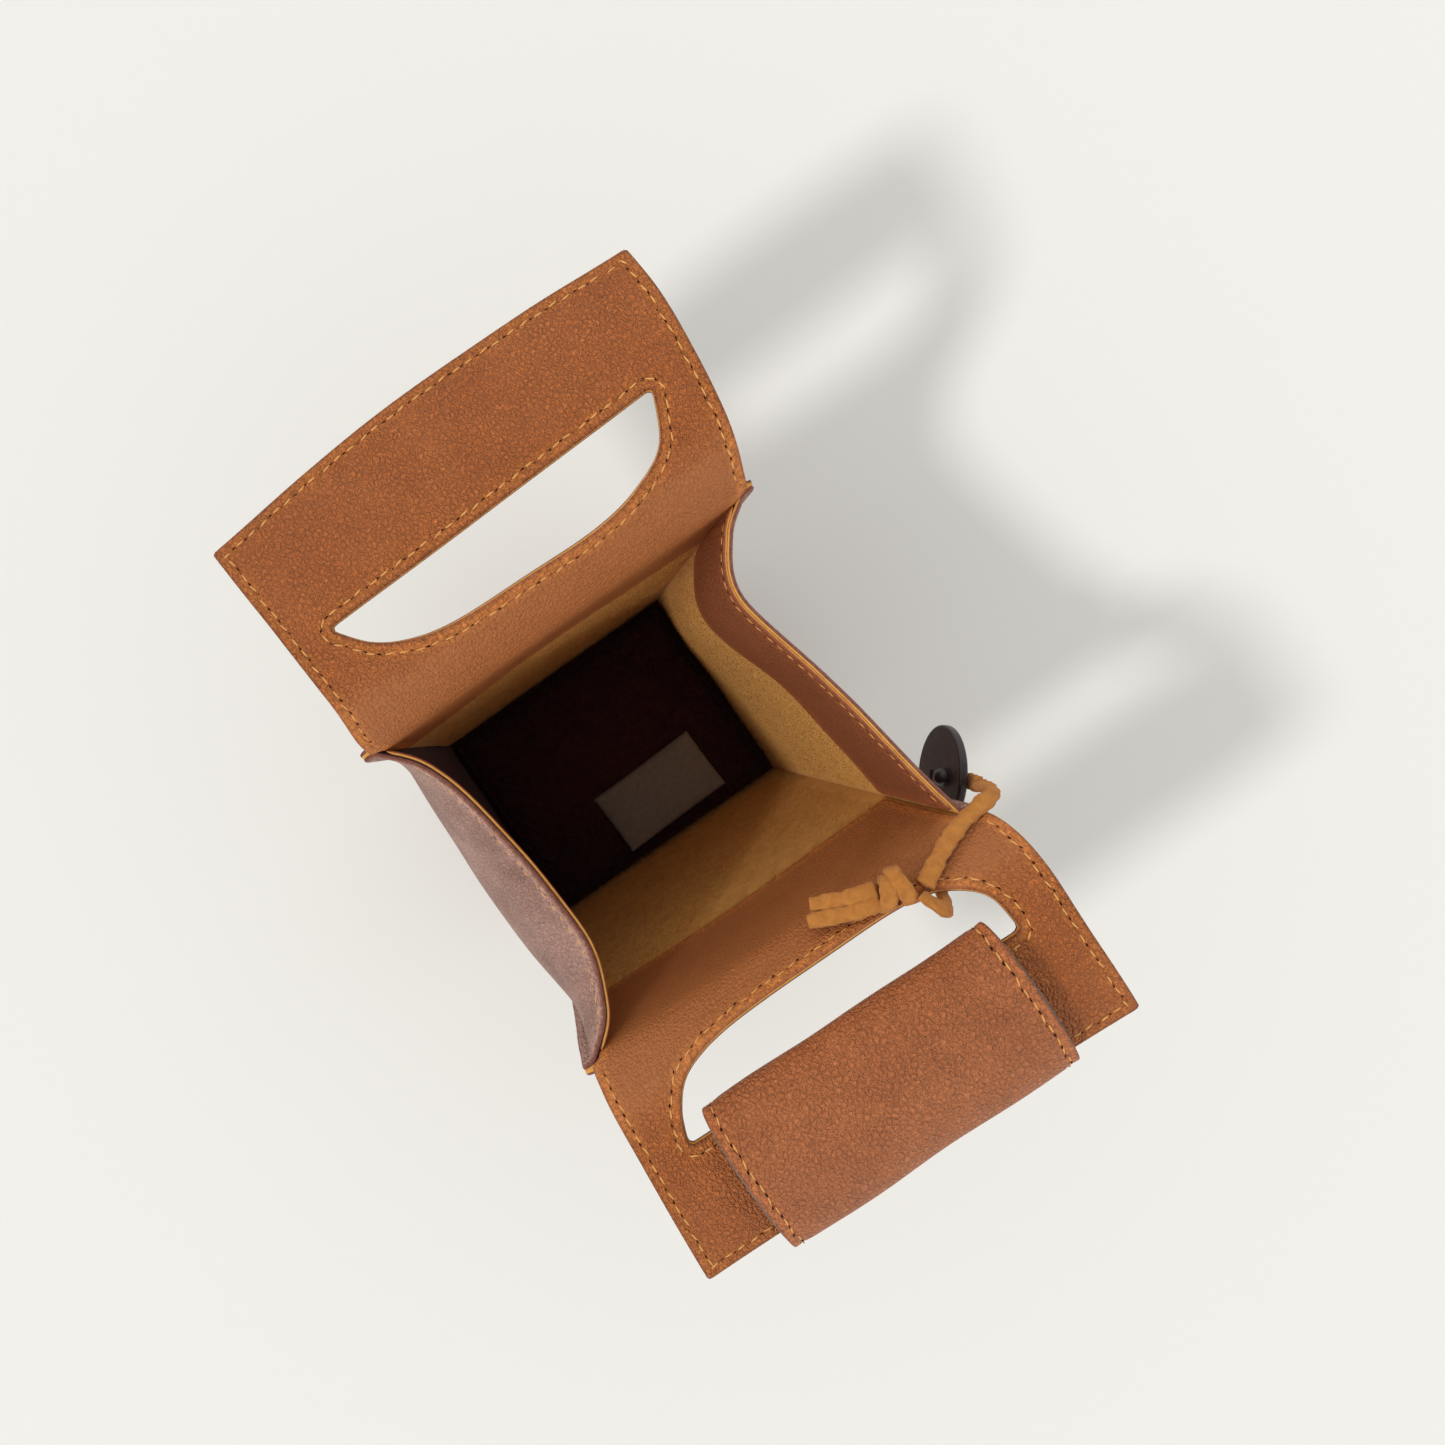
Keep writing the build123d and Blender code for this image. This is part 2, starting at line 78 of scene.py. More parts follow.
ROOT_ANGLE, ROOT_RUN = 58.0, 6.0
CURL_RADIUS, CURL_TURN = 20.0, 50.0
DROOP_RADIUS = 120.0
EASE = 7.0                     # length over which wall and flap flow into each other

hinges = {j["name"]: Vector(j["pos_m"]) / MM for j in frame["joints"] if j["type"] == "hinge"}
HINGE_Y = {1: hinges["back_flap_hinge"].y, -1: hinges["front_flap_hinge"].y}
MOUTH_HIGH = hinges["back_flap_hinge"].z
WALL_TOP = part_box("front_panel")[1].z / MM
BASE_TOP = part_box("base_panel")[1].z / MM
FOOT_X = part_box("base_panel")[1].x / MM - SEAM
FOOT_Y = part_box("base_panel")[1].y / MM - SEAM
MOUTH_WIDE = 111.0
MOUTH_X = {hand: hinges["back_flap_hinge"].x + hand * MOUTH_WIDE / 2 for hand in (-1, 1)}
LABEL = {1: "back", -1: "front"}


# ------------------------------------------------------------------ plane curves
def smooth_through(points, step=0.5):
    """Catmull-Rom line through points, about one sample for each step."""
    p = np.array(points, float)
    p = np.vstack([2 * p[0] - p[1], p, 2 * p[-1] - p[-2]])
    out = []
    for a, b, c, d in zip(p, p[1:], p[2:], p[3:]):
        count = max(2, int(np.linalg.norm(c - b) / step))
        t = np.linspace(0, 1, count, endpoint=False)[:, None]
        out.append(0.5 * (2 * b + (c - a) * t + (2 * a - 5 * b + 4 * c - d) * t**2
                          + (3 * b - a - 3 * c + d) * t**3))
    return np.vstack(out + [p[-2][None]])


def even(line, step, closed=False):
    """The line resampled at an even step."""
    line = np.vstack([line, line[:1]]) if closed else line
    run = np.r_[0, np.cumsum(np.linalg.norm(np.diff(line, axis=0), axis=1))]
    count = max(3, int(round(run[-1] / step)))
    at = np.linspace(0, run[-1], count + 1)
    at = at[:-1] if closed else at
    return np.stack([np.interp(at, run, line[:, i]) for i in range(line.shape[1])], axis=1)


def outline(sides, radius):
    """Closed loop of smooth sides that meet in corners rounded by radius."""
    pieces = []
    for side in sides:
        line = smooth_through(side) if len(side) > 2 else even(np.array(side, float), 0.5)
        pieces.append(line)
    loop = []
    for here, after in zip(pieces, pieces[1:] + pieces[:1]):
        run_here = np.linalg.norm(here - here[-1], axis=1)
        run_after = np.linalg.norm(after - after[0], axis=1)
        start = here[run_here >= radius]
        keep = start[np.linalg.norm(start - here[0], axis=1) >= radius]
        loop.append(keep)
        t = np.linspace(0, 1, 8)[:, None]
        a, b, c = start[-1], here[-1], after[run_after >= radius][0]
        loop.append(a * (1 - t) ** 2 + 2 * b * t * (1 - t) + c * t**2)
    return np.vstack(loop)


def counter_clockwise(loop):
    x, y = loop[:, 0], loop[:, 1]
    area = np.sum(x * np.roll(y, -1) - y * np.roll(x, -1))
    return loop if area > 0 else loop[::-1]


def inset(loop, distance):
    """Loop moved inwards by distance; loops turn counter-clockwise."""
    ahead = np.roll(loop, -2, axis=0) - np.roll(loop, 2, axis=0)
    ahead /= np.linalg.norm(ahead, axis=1)[:, None] + 1e-9
    return loop + distance * np.stack([-ahead[:, 1], ahead[:, 0]], axis=1)


def inside(points, loop):
    """Which points lie inside a closed loop."""
    x, y = points[:, 0], points[:, 1]
    result = np.zeros(len(points), bool)
    for (ax, ay), (bx, by) in zip(loop, np.roll(loop, -1, axis=0)):
        crosses = (ay > y) != (by > y)
        span = by - ay if abs(by - ay) > 1e-12 else 1e-12
        result ^= crosses & (x < (bx - ax) * (y - ay) / span + ax)
    return result


def distance_to(points, lines, closed=True):
    """Distance from each point to the nearest of the lines."""
    best = np.full(len(points), 1e9)
    for line in lines:
        ends = np.roll(line, -1, axis=0) if closed else line[1:]
        for a, b in zip(line, ends):
            ab = b - a
            ap = points - a
            t = np.clip(ap @ ab / (ab @ ab + 1e-12), 0, 1)
            best = np.minimum(best, np.linalg.norm(ap - t[:, None] * ab, axis=1))
    return best


# ------------------------------------------------------------------ soft surfaces
def sway(a, b, size):
    """Slow uneven waves, about -1 to 1, that repeat nowhere on a piece."""
    return (np.sin(a / size + 0.7) * np.sin(b / (0.83 * size) + 1.9)
            + 0.6 * np.sin(a / (0.47 * size) + b / (0.9 * size) + 2.4)
            + 0.4 * np.sin(b / (0.31 * size) - a / (1.3 * size) + 0.3)) / 1.6


def flap_profile(side):
    """Line up a wall and out along its flap: run, outwards, up and heading, from the hinge."""
    out_at_top = side * HINGE_Y[side] - FOOT_Y
    wall_long = math.hypot(MOUTH_HIGH - BASE_TOP, out_at_top)
    wall_heading = math.atan2(MOUTH_HIGH - BASE_TOP, out_at_top)
    run = np.arange(-wall_long - 12, 80, 0.25)
    root, flat = math.radians(ROOT_ANGLE), math.radians(ROOT_ANGLE - CURL_TURN)
    curl_end = ROOT_RUN + CURL_RADIUS * math.radians(CURL_TURN)
    heading = np.where(run < ROOT_RUN, root, root - (run - ROOT_RUN) / CURL_RADIUS)
    heading = np.where(run > curl_end, flat - (run - curl_end) / DROOP_RADIUS, heading)
    heading = np.where(run < 0, wall_heading, heading)
    width = int(EASE / 0.25) | 1
    padded = np.pad(heading, width // 2, mode="edge")
    heading = np.convolve(padded, np.ones(width) / width, mode="valid")
    outwards = np.cumsum(np.cos(heading)) * 0.25
    up = np.cumsum(np.sin(heading)) * 0.25
    outwards -= np.interp(0, run, outwards)
    up -= np.interp(0, run, up)
    return run, outwards, up, heading, wall_long


PROFILE = {side: flap_profile(side) for side in (1, -1)}


# the hand holes' curved edges, as (x, run from the hinge), from right to left
HOLE_CURVE = {
    1: [(60.8, 33.6), (55.0, 22.6), (45, 18.0), (33, 16.2), (15, 16.6), (-3, 17.4), (-14, 19.8),
        (-22, 24.2), (-28.0, 31.6)],
    -1: [(60.4, 28.4), (58.8, 18.4), (51, 12.2), (40, 10.5), (22, 10.4), (4, 10.6), (-10, 11.6),
         (-20.5, 14.4), (-26, 20),
         (-29.2, 27.4)],
}
LIP = 1.3                      # the leather stands up this much where it meets a hand hole's curve


def face_place(side):
    """Maps x, run from the hinge and height off the middle to a place on a face of the case."""
    run, outwards, up, heading, wall_long = PROFILE[side]
    curve = np.array(HOLE_CURVE[side][::-1])

    def lip(x, s):
        short = np.interp(x, curve[:, 0], curve[:, 1]) - s
        ends = np.clip((x - curve[0, 0] - 4) / 12, 0, 1) * np.clip((curve[-1, 0] - 4 - x) / 12, 0, 1)
        return LIP * ends * np.exp(-((np.clip(short, 0, None) / 3.2) ** 2)) * (short > -2.5)

    def place(x, s, n):
        flap = np.clip(s / 20, 0, 1)
        wall = np.clip(-s / 25, 0, 1) * np.clip((wall_long + s) / 25, 0, 1)
        soft = flap * 0.45 * sway(x, s, 17.0) - wall * (1.6 * np.cos((x - 8) / 40) + 0.5 * sway(x, s, 23.0))
        soft = soft + 0.5 * np.clip((s - 30) / 30, 0,
                                    1) * (np.clip(np.abs(x - 16) - 42, 0, 20) / 14) ** 2 + lip(x, s)
        n = n + soft
        h = np.interp(s, run, heading)
        reach = np.interp(s, run, outwards) - n * np.sin(h)
        rise = np.interp(s, run, up) + n * np.cos(h)
        return np.stack([x, HINGE_Y[side] + side * reach, MOUTH_HIGH + rise], axis=1)

    return place


def corner_x(hand, z):
    """Corner line between face and gusset at height z."""
    share = (z - BASE_TOP) / (MOUTH_HIGH - BASE_TOP)
    return hand * FOOT_X + (MOUTH_X[hand] - hand * FOOT_X) * share


def wall_y(side, z):
    share = (z - BASE_TOP) / (MOUTH_HIGH - BASE_TOP)
    return side * FOOT_Y + (HINGE_Y[side] - side * FOOT_Y) * share


# gusset folds: (height share, inward fold) and (depth share, share of the fold)
FOLD = {
    1: (((0, 0), (0.27, 7), (0.55, 12), (0.8, 13.5), (1, 12)),
        ((0, 0), (0.25, 0.2), (0.5, 0.45), (0.78, 1), (0.93, 0.6), (1, 0))),
    -1: (((0, 0), (0.35, -3), (0.66, -5), (0.82, 3), (0.92, 13), (1, 20.5)),
         ((0, 0), (0.1, 0.55), (0.3, 1), (0.65, 0.85), (0.88, 0.45), (1, 0))),
}


def eased(table, at):
    """Smooth interpolation of a short table."""
    line = smooth_through(table, step=0.01)
    return np.interp(at, line[:, 0], line[:, 1])


def gusset_place(hand):
    """Maps run across from the front corner, height and depth from the outer face to a place on a gusset."""
    folds, shape = FOLD[hand]
    seat = LAYER + LEATHER / 2

    def middle(a, z):
        share = np.clip((z - BASE_TOP) / (WALL_TOP - BASE_TOP), 0, 1.2)
        t = np.clip(a / ACROSS, 0, 1)
        fold = eased(folds, share) * eased(shape, t)
        high = np.clip((share - 0.5) * 2, 0, 1)
        fold = fold + 0.55 * sway(t * ACROSS, z, 13.0) * np.sin(np.pi * t) * (0.4 + high)
        if hand < 0:
            crease = np.exp(-(((share - 0.9) / 0.05) ** 2)) * np.exp(-(((t - 0.12) / 0.08) ** 2))
            fold = fold - 2.2 * crease
        past = np.clip(-a, 0, None) + np.clip(a - ACROSS, 0, None)
        x = corner_x(hand, z) + hand * (past - LEATHER / 2) - hand * fold
        front, back = wall_y(-1, z) + seat, wall_y(1, z) - seat
        return np.stack([x, front + (back - front) * t, z], axis=1)

    def place(a, z, depth):
        along = middle(a + 1.2, z) - middle(a - 1.2, z)
        climb = middle(a, z + 1.0) - middle(a, z - 1.0)
        normal = np.cross(along, climb) * -hand
        normal /= np.linalg.norm(normal, axis=1)[:, None]
        return middle(a, z) + normal * (depth - LEATHER / 2)[:, None]

    return place


# ------------------------------------------------------------------ sheets of leather
def leather_sheet(name, place, outer, holes, low, high, gap, rounding=0.4, dip_top=0.0, dip_low=0.0, rows=()):
    """Closed sheet between two depths: rounded cut edges, and a dip along its stitch rows."""
    loops = [even(counter_clockwise(loop), 0.9, closed=True) for loop in [outer, *holes]]
    edges, points, first = [], list(loops), 0
    for loop in loops:
        count = len(loop)
        edges += [(first + i, first + (i + 1) % count) for i in range(count)]
        first += count
    steps = [0.15, rounding]
    steps += [STITCH_INSET - 0.8, STITCH_INSET, STITCH_INSET + 0.8] if rows else []
    for step in steps:
        for i, loop in enumerate(loops):
            ring = inset(loop, step if i == 0 else -step)
            points.append(ring[distance_to(ring, loops) > 0.9 * step])
    lowest, highest = loops[0].min(0), loops[0].max(0)
    xs = np.arange(lowest[0], highest[0], gap)
    ys = np.arange(lowest[1], highest[1], gap * 0.87)
    grid = np.array([(x + (j % 2) * gap / 2, y) for j, y in enumerate(ys) for x in xs])
    grid = grid[within(grid, loops)]
    points.append(grid[distance_to(grid, loops) > max(steps) + gap * 0.4])
    flat, _, tris, *_ = delaunay_2d_cdt([Vector(p) for p in np.vstack(points)], edges, [], 0, 1e-6)
    flat = np.array([tuple(v) for v in flat])
    tris = np.array(tris)
    tris = tris[within(flat[tris].mean(axis=1), loops)]
    used = np.unique(tris)
    renumber = np.full(len(flat), -1)
    renumber[used] = np.arange(len(used))
    flat, tris = flat[used], renumber[tris]
    d = distance_to(flat, loops)
    seam = np.exp(-((distance_to(flat, rows, closed=False) / 0.75) ** 2)) if rows else np.zeros(len(flat))
    fall = rounding * (1 - np.sqrt(1 - (1 - np.clip(d / rounding, 0, 1)) ** 2))
    over = place(*flat.T, high - fall - dip_top * seam)
    under = place(*flat.T, low + fall + dip_low * seam)
    count = len(flat)
    directed = {(t[i], t[(i + 1) % 3]) for t in tris for i in range(3)}
    rim = [(i, j) for i, j in directed if (j, i) not in directed]
    rim.sort()
    faces = [tuple(t) for t in tris] + [tuple(t[::-1] + count) for t in tris]
    faces += [(j, i, i + count, j + count) for i, j in rim]
    a, b, c = over[tris].transpose(1, 0, 2)
    if np.sum(np.cross(b - a, c - a) * (over - under)[tris[:, 0]]) < 0:
        faces = [face[::-1] for face in faces]
    piece = new_piece(name, np.vstack([over, under]), faces)
    piece.data.polygons.foreach_set("material_index", [0] * len(tris) + [1] * len(tris) + [2] * len(rim))
    add_map(piece, np.vstack([flat, flat]) / 100)
    add_value(piece, "edge", np.r_[d, d])
    add_value(piece, "seam", np.r_[seam, seam])
    return piece


def within(points, loops):
    """Which points lie inside the first loop and outside the others."""
    keep = inside(points, loops[0])
    for hole in loops[1:]:
        keep &= ~inside(points, hole)
    return keep


def new_piece(name, places, faces, smooth=True):
    mesh = bpy.data.meshes.new(name)
    mesh.from_pydata((np.array(places) * MM).tolist(), [], [tuple(int(i) for i in f) for f in faces])
    mesh.validate()
    piece = bpy.data.objects.new(name, mesh)
    bpy.context.scene.collection.objects.link(piece)
    mesh.polygons.foreach_set("use_smooth", [smooth] * len(mesh.polygons))
    return piece


def add_map(piece, places):
    mesh = piece.data
    layer = mesh.uv_layers.new(name="lay")
    corner = np.zeros(len(mesh.loops), int)
    mesh.loops.foreach_get("vertex_index", corner)
    layer.data.foreach_set("uv", np.asarray(places, float)[corner].ravel())


def add_value(piece, name, values):
    attribute = piece.data.attributes.new(name, "FLOAT", "POINT")
    attribute.data.foreach_set("value", np.asarray(values, np.float32))


def finish_piece(piece, materials, replaces=()):
    for material in materials:
        piece.data.materials.append(material)
    if replaces:
        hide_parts(*replaces)
    return piece


# ------------------------------------------------------------------ outlines of the faces
def flap_sides(side):
    """Left side, outer edge and right side of a flap, as (x, run from the hinge)."""
    if side > 0:
        left = [(-39.5, 59.8), (-38.7, 49), (-37.9, 35), (-38.1, 18), (-40.6, 6), (-41.3, 0)]
        far = [(73.0, 61.0), (46, 63.7), (17, 64.4), (-12, 63.2), (-39.5, 59.8)]
        right = [(69.6, 0), (69.8, 8), (71.2, 22), (72.4, 34), (73.4, 48), (73.0, 61.0)]
    else:
        left = [(-43.2, 55.0), (-42.0, 42), (-41.0, 30), (-40.5, 20), (-41.0, 8), (-41.5, 0)]
        far = [(72.1, 57.6), (15, 56.9), (-43.2, 55.0)]
        right = [(71.2, 0), (73.0, 5), (73.6, 12), (73.3, 20), (72.3, 36), (72.1, 57.6)]
    return left, far, right


def hand_hole(side):
    """D-shaped hand hole of a flap."""
    curve = HOLE_CURVE[side]
    return outline([[curve[-1], curve[0]], curve], 1.6)


def panel_outline(side):
    """A whole face: wall up to the tabs at the mouth, then the flap."""
    left, far, right = flap_sides(side)
    wall_long = PROFILE[side][4]
    foot, top = -wall_long, -0.6
    z_top = MOUTH_HIGH + top
    right_foot = [(-FOOT_X - SEAM, foot), (FOOT_X + SEAM, foot)]
    right_wall = [(FOOT_X + SEAM, foot), (corner_x(1, z_top) + SEAM, top)]
    right_tab = [right_wall[1], (right[0][0], 0)]
    left_tab = [(left[-1][0], 0), (corner_x(-1, z_top) - SEAM, top)]
    left_wall = [left_tab[1], right_foot[0]]
    return outline([right_foot, right_wall, right_tab, right, far, left, left_tab, left_wall], 0.5)


def facing_outline(side):
    """Facing leather: from its lower edge inside the mouth to the flap's outer edge."""
    left, far, right = flap_sides(side)
    low_z = MOUTH_HIGH - FACING_DEEP
    inner = LEATHER + FACING + 0.2
    bottom = [(corner_x(-1, low_z) + inner, -FACING_DEEP), (10, -FACING_DEEP - 0.8),
              (corner_x(1, low_z) - inner, -FACING_DEEP)]
    right_wall = [bottom[2], (corner_x(1, WALL_TOP) - inner, -1.5)]
    right_step = [right_wall[1], (right[0][0], 0)]
    left_step = [(left[-1][0], 0), (corner_x(-1, WALL_TOP) + inner, -1.5)]
    left_wall = [left_step[1], bottom[0]]
    return outline([bottom, right_wall, right_step, right, far, left, left_step, left_wall], 0.5)


def flap_rows(side):
    """The flap's two stitch rows: round its edge from hinge to hinge, and round its hand hole."""
    left, far, right = flap_sides(side)
    edge = outline([[(left[-1][0], 0), (right[0][0], 0)], right, far, left], 2.0)
    edge = even(counter_clockwise(edge), 0.6, closed=True)
    edge = open_row(inset(edge, STITCH_INSET), lambda p: p[1] > ROW_START)
    hole = inset(even(counter_clockwise(hand_hole(side)), 0.6, closed=True), -STITCH_INSET)
    return [edge, np.vstack([hole, hole[:1]])]


def open_row(loop, keep):
    """The stretch of a closed loop whose points pass keep, in order."""
    good = np.array([keep(p) for p in loop])
    start = int(np.argmax(good & ~np.roll(good, 1)))
    turned, good = np.roll(loop, -start, axis=0), np.roll(good, -start)
    return turned[:int(np.argmin(good))]


def blend_at_mouth(piece):
    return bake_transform(piece)


def make_face(side, stuff):
    label = LABEL[side]
    place = face_place(side)
    hole = hand_hole(side)
    rows = flap_rows(side)
    leather = leather_sheet(f"{label}_leather", place, panel_outline(side), [hole], OUTER_FACE,
                            LAYER - 0.02, 2.4,
                            dip_low=0.22, rows=rows)
    finish_piece(leather, [stuff["suede"], stuff["outer"], stuff["raw_edge"]],
                 [f"{label}_panel", f"{label}_flap_outer"])
    blend_at_mouth(leather)
    facing = leather_sheet(f"{label}_lining_leather", place, facing_outline(side), [hole], LAYER + 0.02,
                           HALF, 1.5,
                           dip_top=0.25, rows=rows)
    finish_piece(facing, [stuff["facing"], stuff["suede"], stuff["facing_edge"]],
                 [f"{label}_facing", f"{label}_flap_facing"])
    blend_at_mouth(facing)


# ------------------------------------------------------------------ gussets
def rim_height(a):
    return WALL_TOP - SCOOP * (1 - (2 * np.clip(a / ACROSS, 0, 1) - 1) ** 2)


def gusset_outline(low, drop, past):
    """Gusset outline in (run across, height); past is how far it runs on beyond its corners."""
    rim = [(a, rim_height(a) - drop) for a in np.linspace(ACROSS + past, -past, 40)]
    return outline([[(-past, low), (ACROSS + past, low)], [(ACROSS + past, low), rim[0]], rim,
                    [rim[-1], (-past, low)]], 0.4)


def rim_row():
    a = np.linspace(3.5, ACROSS - 3.5, 90)
    return np.stack([a, rim_height(a) - STITCH_INSET], axis=1)


def make_gusset(hand, stuff):
    label = "right" if hand > 0 else "left"
    place = gusset_place(hand)
    inner = stuff["suede"] if hand > 0 else stuff["plush"]
    rows = [rim_row()]
    leather = leather_sheet(f"{label}_gusset_leather", place,
                            gusset_outline(BASE_TOP, 0, SEAM + LEATHER / 2), [],
                            -PLUMP, LEATHER - 0.02, 2.2, dip_low=0.2, rows=rows)
    # The gusset's outer finish carries a painted glare in its colour.
    finish_piece(leather, [inner, stuff["gusset"], stuff["raw_edge"]], [f"{label}_gusset"])
    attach(leather, "case")
    facing = leather_sheet(f"{label}_gusset_lining", place, gusset_outline(WALL_TOP - FACING_DEEP, 0, -1.8),
                           [],
                           LEATHER + 0.02, WALL, 1.5, dip_top=0.25, rows=rows)
    finish_piece(facing, [stuff["inner_facing"], stuff["suede"], stuff["facing_edge"]],
                 [f"{label}_gusset_facing"])
    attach(facing, "case")


# ------------------------------------------------------------------ repeats by geometry nodes
def new_tree(name, numbers):
    """A geometry tree with a geometry socket and named number inputs."""
    tree = bpy.data.node_groups.new(name, "GeometryNodeTree")
    tree.interface.new_socket("Geometry", in_out="INPUT", socket_type="NodeSocketGeometry")
    for label, value in numbers.items():
        kind = "NodeSocketInt" if isinstance(value, int) else "NodeSocketFloat"
        tree.interface.new_socket(label, in_out="INPUT", socket_type=kind).default_value = value
    tree.interface.new_socket("Material", in_out="INPUT", socket_type="NodeSocketMaterial")
    tree.interface.new_socket("Geometry", in_out="OUTPUT", socket_type="NodeSocketGeometry")
    source = tree.nodes.new("NodeGroupInput")
    sink = tree.nodes.new("NodeGroupOutput")
    return tree, source, sink


def end_tree(tree, source, sink, instances):
    real = tree.nodes.new("GeometryNodeRealizeInstances")
    paint = tree.nodes.new("GeometryNodeSetMaterial")
    tree.links.new(instances, real.inputs["Geometry"])
    tree.links.new(real.outputs["Geometry"], paint.inputs["Geometry"])
    tree.links.new(source.outputs["Material"], paint.inputs["Material"])
    tree.links.new(paint.outputs["Geometry"], sink.inputs["Geometry"])


def apply_tree(piece, tree, values):
    """Run the tree on a piece and keep the result as its plain mesh."""
    modifier = piece.modifiers.new("repeat", "NODES")
    modifier.node_group = tree
    for item in tree.interface.items_tree:
        if item.in_out == "INPUT" and item.name in values:
            modifier[item.identifier] = values[item.name]
    bpy.context.view_layer.update()
    graph = bpy.context.evaluated_depsgraph_get()
    plain = bpy.data.meshes.new_from_object(piece.evaluated_get(graph))
    piece.modifiers.remove(modifier)
    plain.name = piece.name
    piece.data = plain
    plain.polygons.foreach_set("use_smooth", [True] * len(plain.polygons))
    return piece


def stitch_tree():
    """Small rounded stitches set along stored directions."""
    tree, source, sink = new_tree("stitches", {"Length": 2.3 * MM, "Width": 0.44 * MM, "Height": 0.40 * MM})
    ball = tree.nodes.new("GeometryNodeMeshUVSphere")
    ball.inputs["Segments"].default_value = 8
    ball.inputs["Rings"].default_value = 6
    ball.inputs["Radius"].default_value = 0.5
    size = tree.nodes.new("ShaderNodeCombineXYZ")
    for axis, label in zip("XYZ", ("Length", "Width", "Height")):
        tree.links.new(source.outputs[label], size.inputs[axis])
    along = tree.nodes.new("GeometryNodeInputNamedAttribute")
    up = tree.nodes.new("GeometryNodeInputNamedAttribute")
    for node, label in ((along, "along"), (up, "up")):
        node.data_type = "FLOAT_VECTOR"
        node.inputs["Name"].default_value = label
    turn = tree.nodes.new("FunctionNodeAxesToRotation")
    turn.primary_axis, turn.secondary_axis = "X", "Z"
    tree.links.new(along.outputs["Attribute"], turn.inputs["Primary Axis"])
    tree.links.new(up.outputs["Attribute"], turn.inputs["Secondary Axis"])
    place = tree.nodes.new("GeometryNodeInstanceOnPoints")
    tree.links.new(source.outputs["Geometry"], place.inputs["Points"])
    tree.links.new(ball.outputs["Mesh"], place.inputs["Instance"])
    tree.links.new(turn.outputs["Rotation"], place.inputs["Rotation"])
    tree.links.new(size.outputs["Vector"], place.inputs["Scale"])
    end_tree(tree, source, sink, place.outputs["Instances"])
    return tree


def fibre_tree():
    """Short tapering fibres scattered over a surface, each leaning its own way."""
    numbers = {"Density": 1.0e6, "Length": 1.0 * MM, "Radius": 0.05 * MM, "Lean": 0.6, "Seed": 3}
    tree, source, sink = new_tree("fibres", numbers)
    scatter = tree.nodes.new("GeometryNodeDistributePointsOnFaces")
    tree.links.new(source.outputs["Geometry"], scatter.inputs["Mesh"])
    tree.links.new(source.outputs["Density"], scatter.inputs["Density"])
    tree.links.new(source.outputs["Seed"], scatter.inputs["Seed"])
    blade = tree.nodes.new("GeometryNodeMeshCone")
    blade.fill_type = "NGON"
    blade.inputs["Vertices"].default_value = 3
    tree.links.new(source.outputs["Radius"], blade.inputs["Radius Bottom"])
    tree.links.new(source.outputs["Length"], blade.inputs["Depth"])
    lean = tree.nodes.new("FunctionNodeRandomValue")
    lean.data_type = "FLOAT_VECTOR"
    lean.inputs[0].default_value = (-1, -1, -1)
    lean.inputs[1].default_value = (1, 1, 1)
    tree.links.new(source.outputs["Seed"], lean.inputs["Seed"])
    much = tree.nodes.new("ShaderNodeVectorMath")
    much.operation = "SCALE"
    tree.links.new(lean.outputs["Value"], much.inputs[0])
    tree.links.new(source.outputs["Lean"], much.inputs["Scale"])
    total = tree.nodes.new("ShaderNodeVectorMath")
    tree.links.new(scatter.outputs["Normal"], total.inputs[0])
    tree.links.new(much.outputs["Vector"], total.inputs[1])
    turn = tree.nodes.new("FunctionNodeAlignRotationToVector")
    turn.axis = "Z"
    tree.links.new(total.outputs["Vector"], turn.inputs["Vector"])
    vary = tree.nodes.new("FunctionNodeRandomValue")
    vary.inputs[2].default_value = 0.55
    vary.inputs[3].default_value = 1.25
    place = tree.nodes.new("GeometryNodeInstanceOnPoints")
    tree.links.new(scatter.outputs["Points"], place.inputs["Points"])
    tree.links.new(blade.outputs["Mesh"], place.inputs["Instance"])
    tree.links.new(turn.outputs["Rotation"], place.inputs["Rotation"])
    tree.links.new(vary.outputs[1], place.inputs["Scale"])
    end_tree(tree, source, sink, place.outputs["Instances"])
    return tree


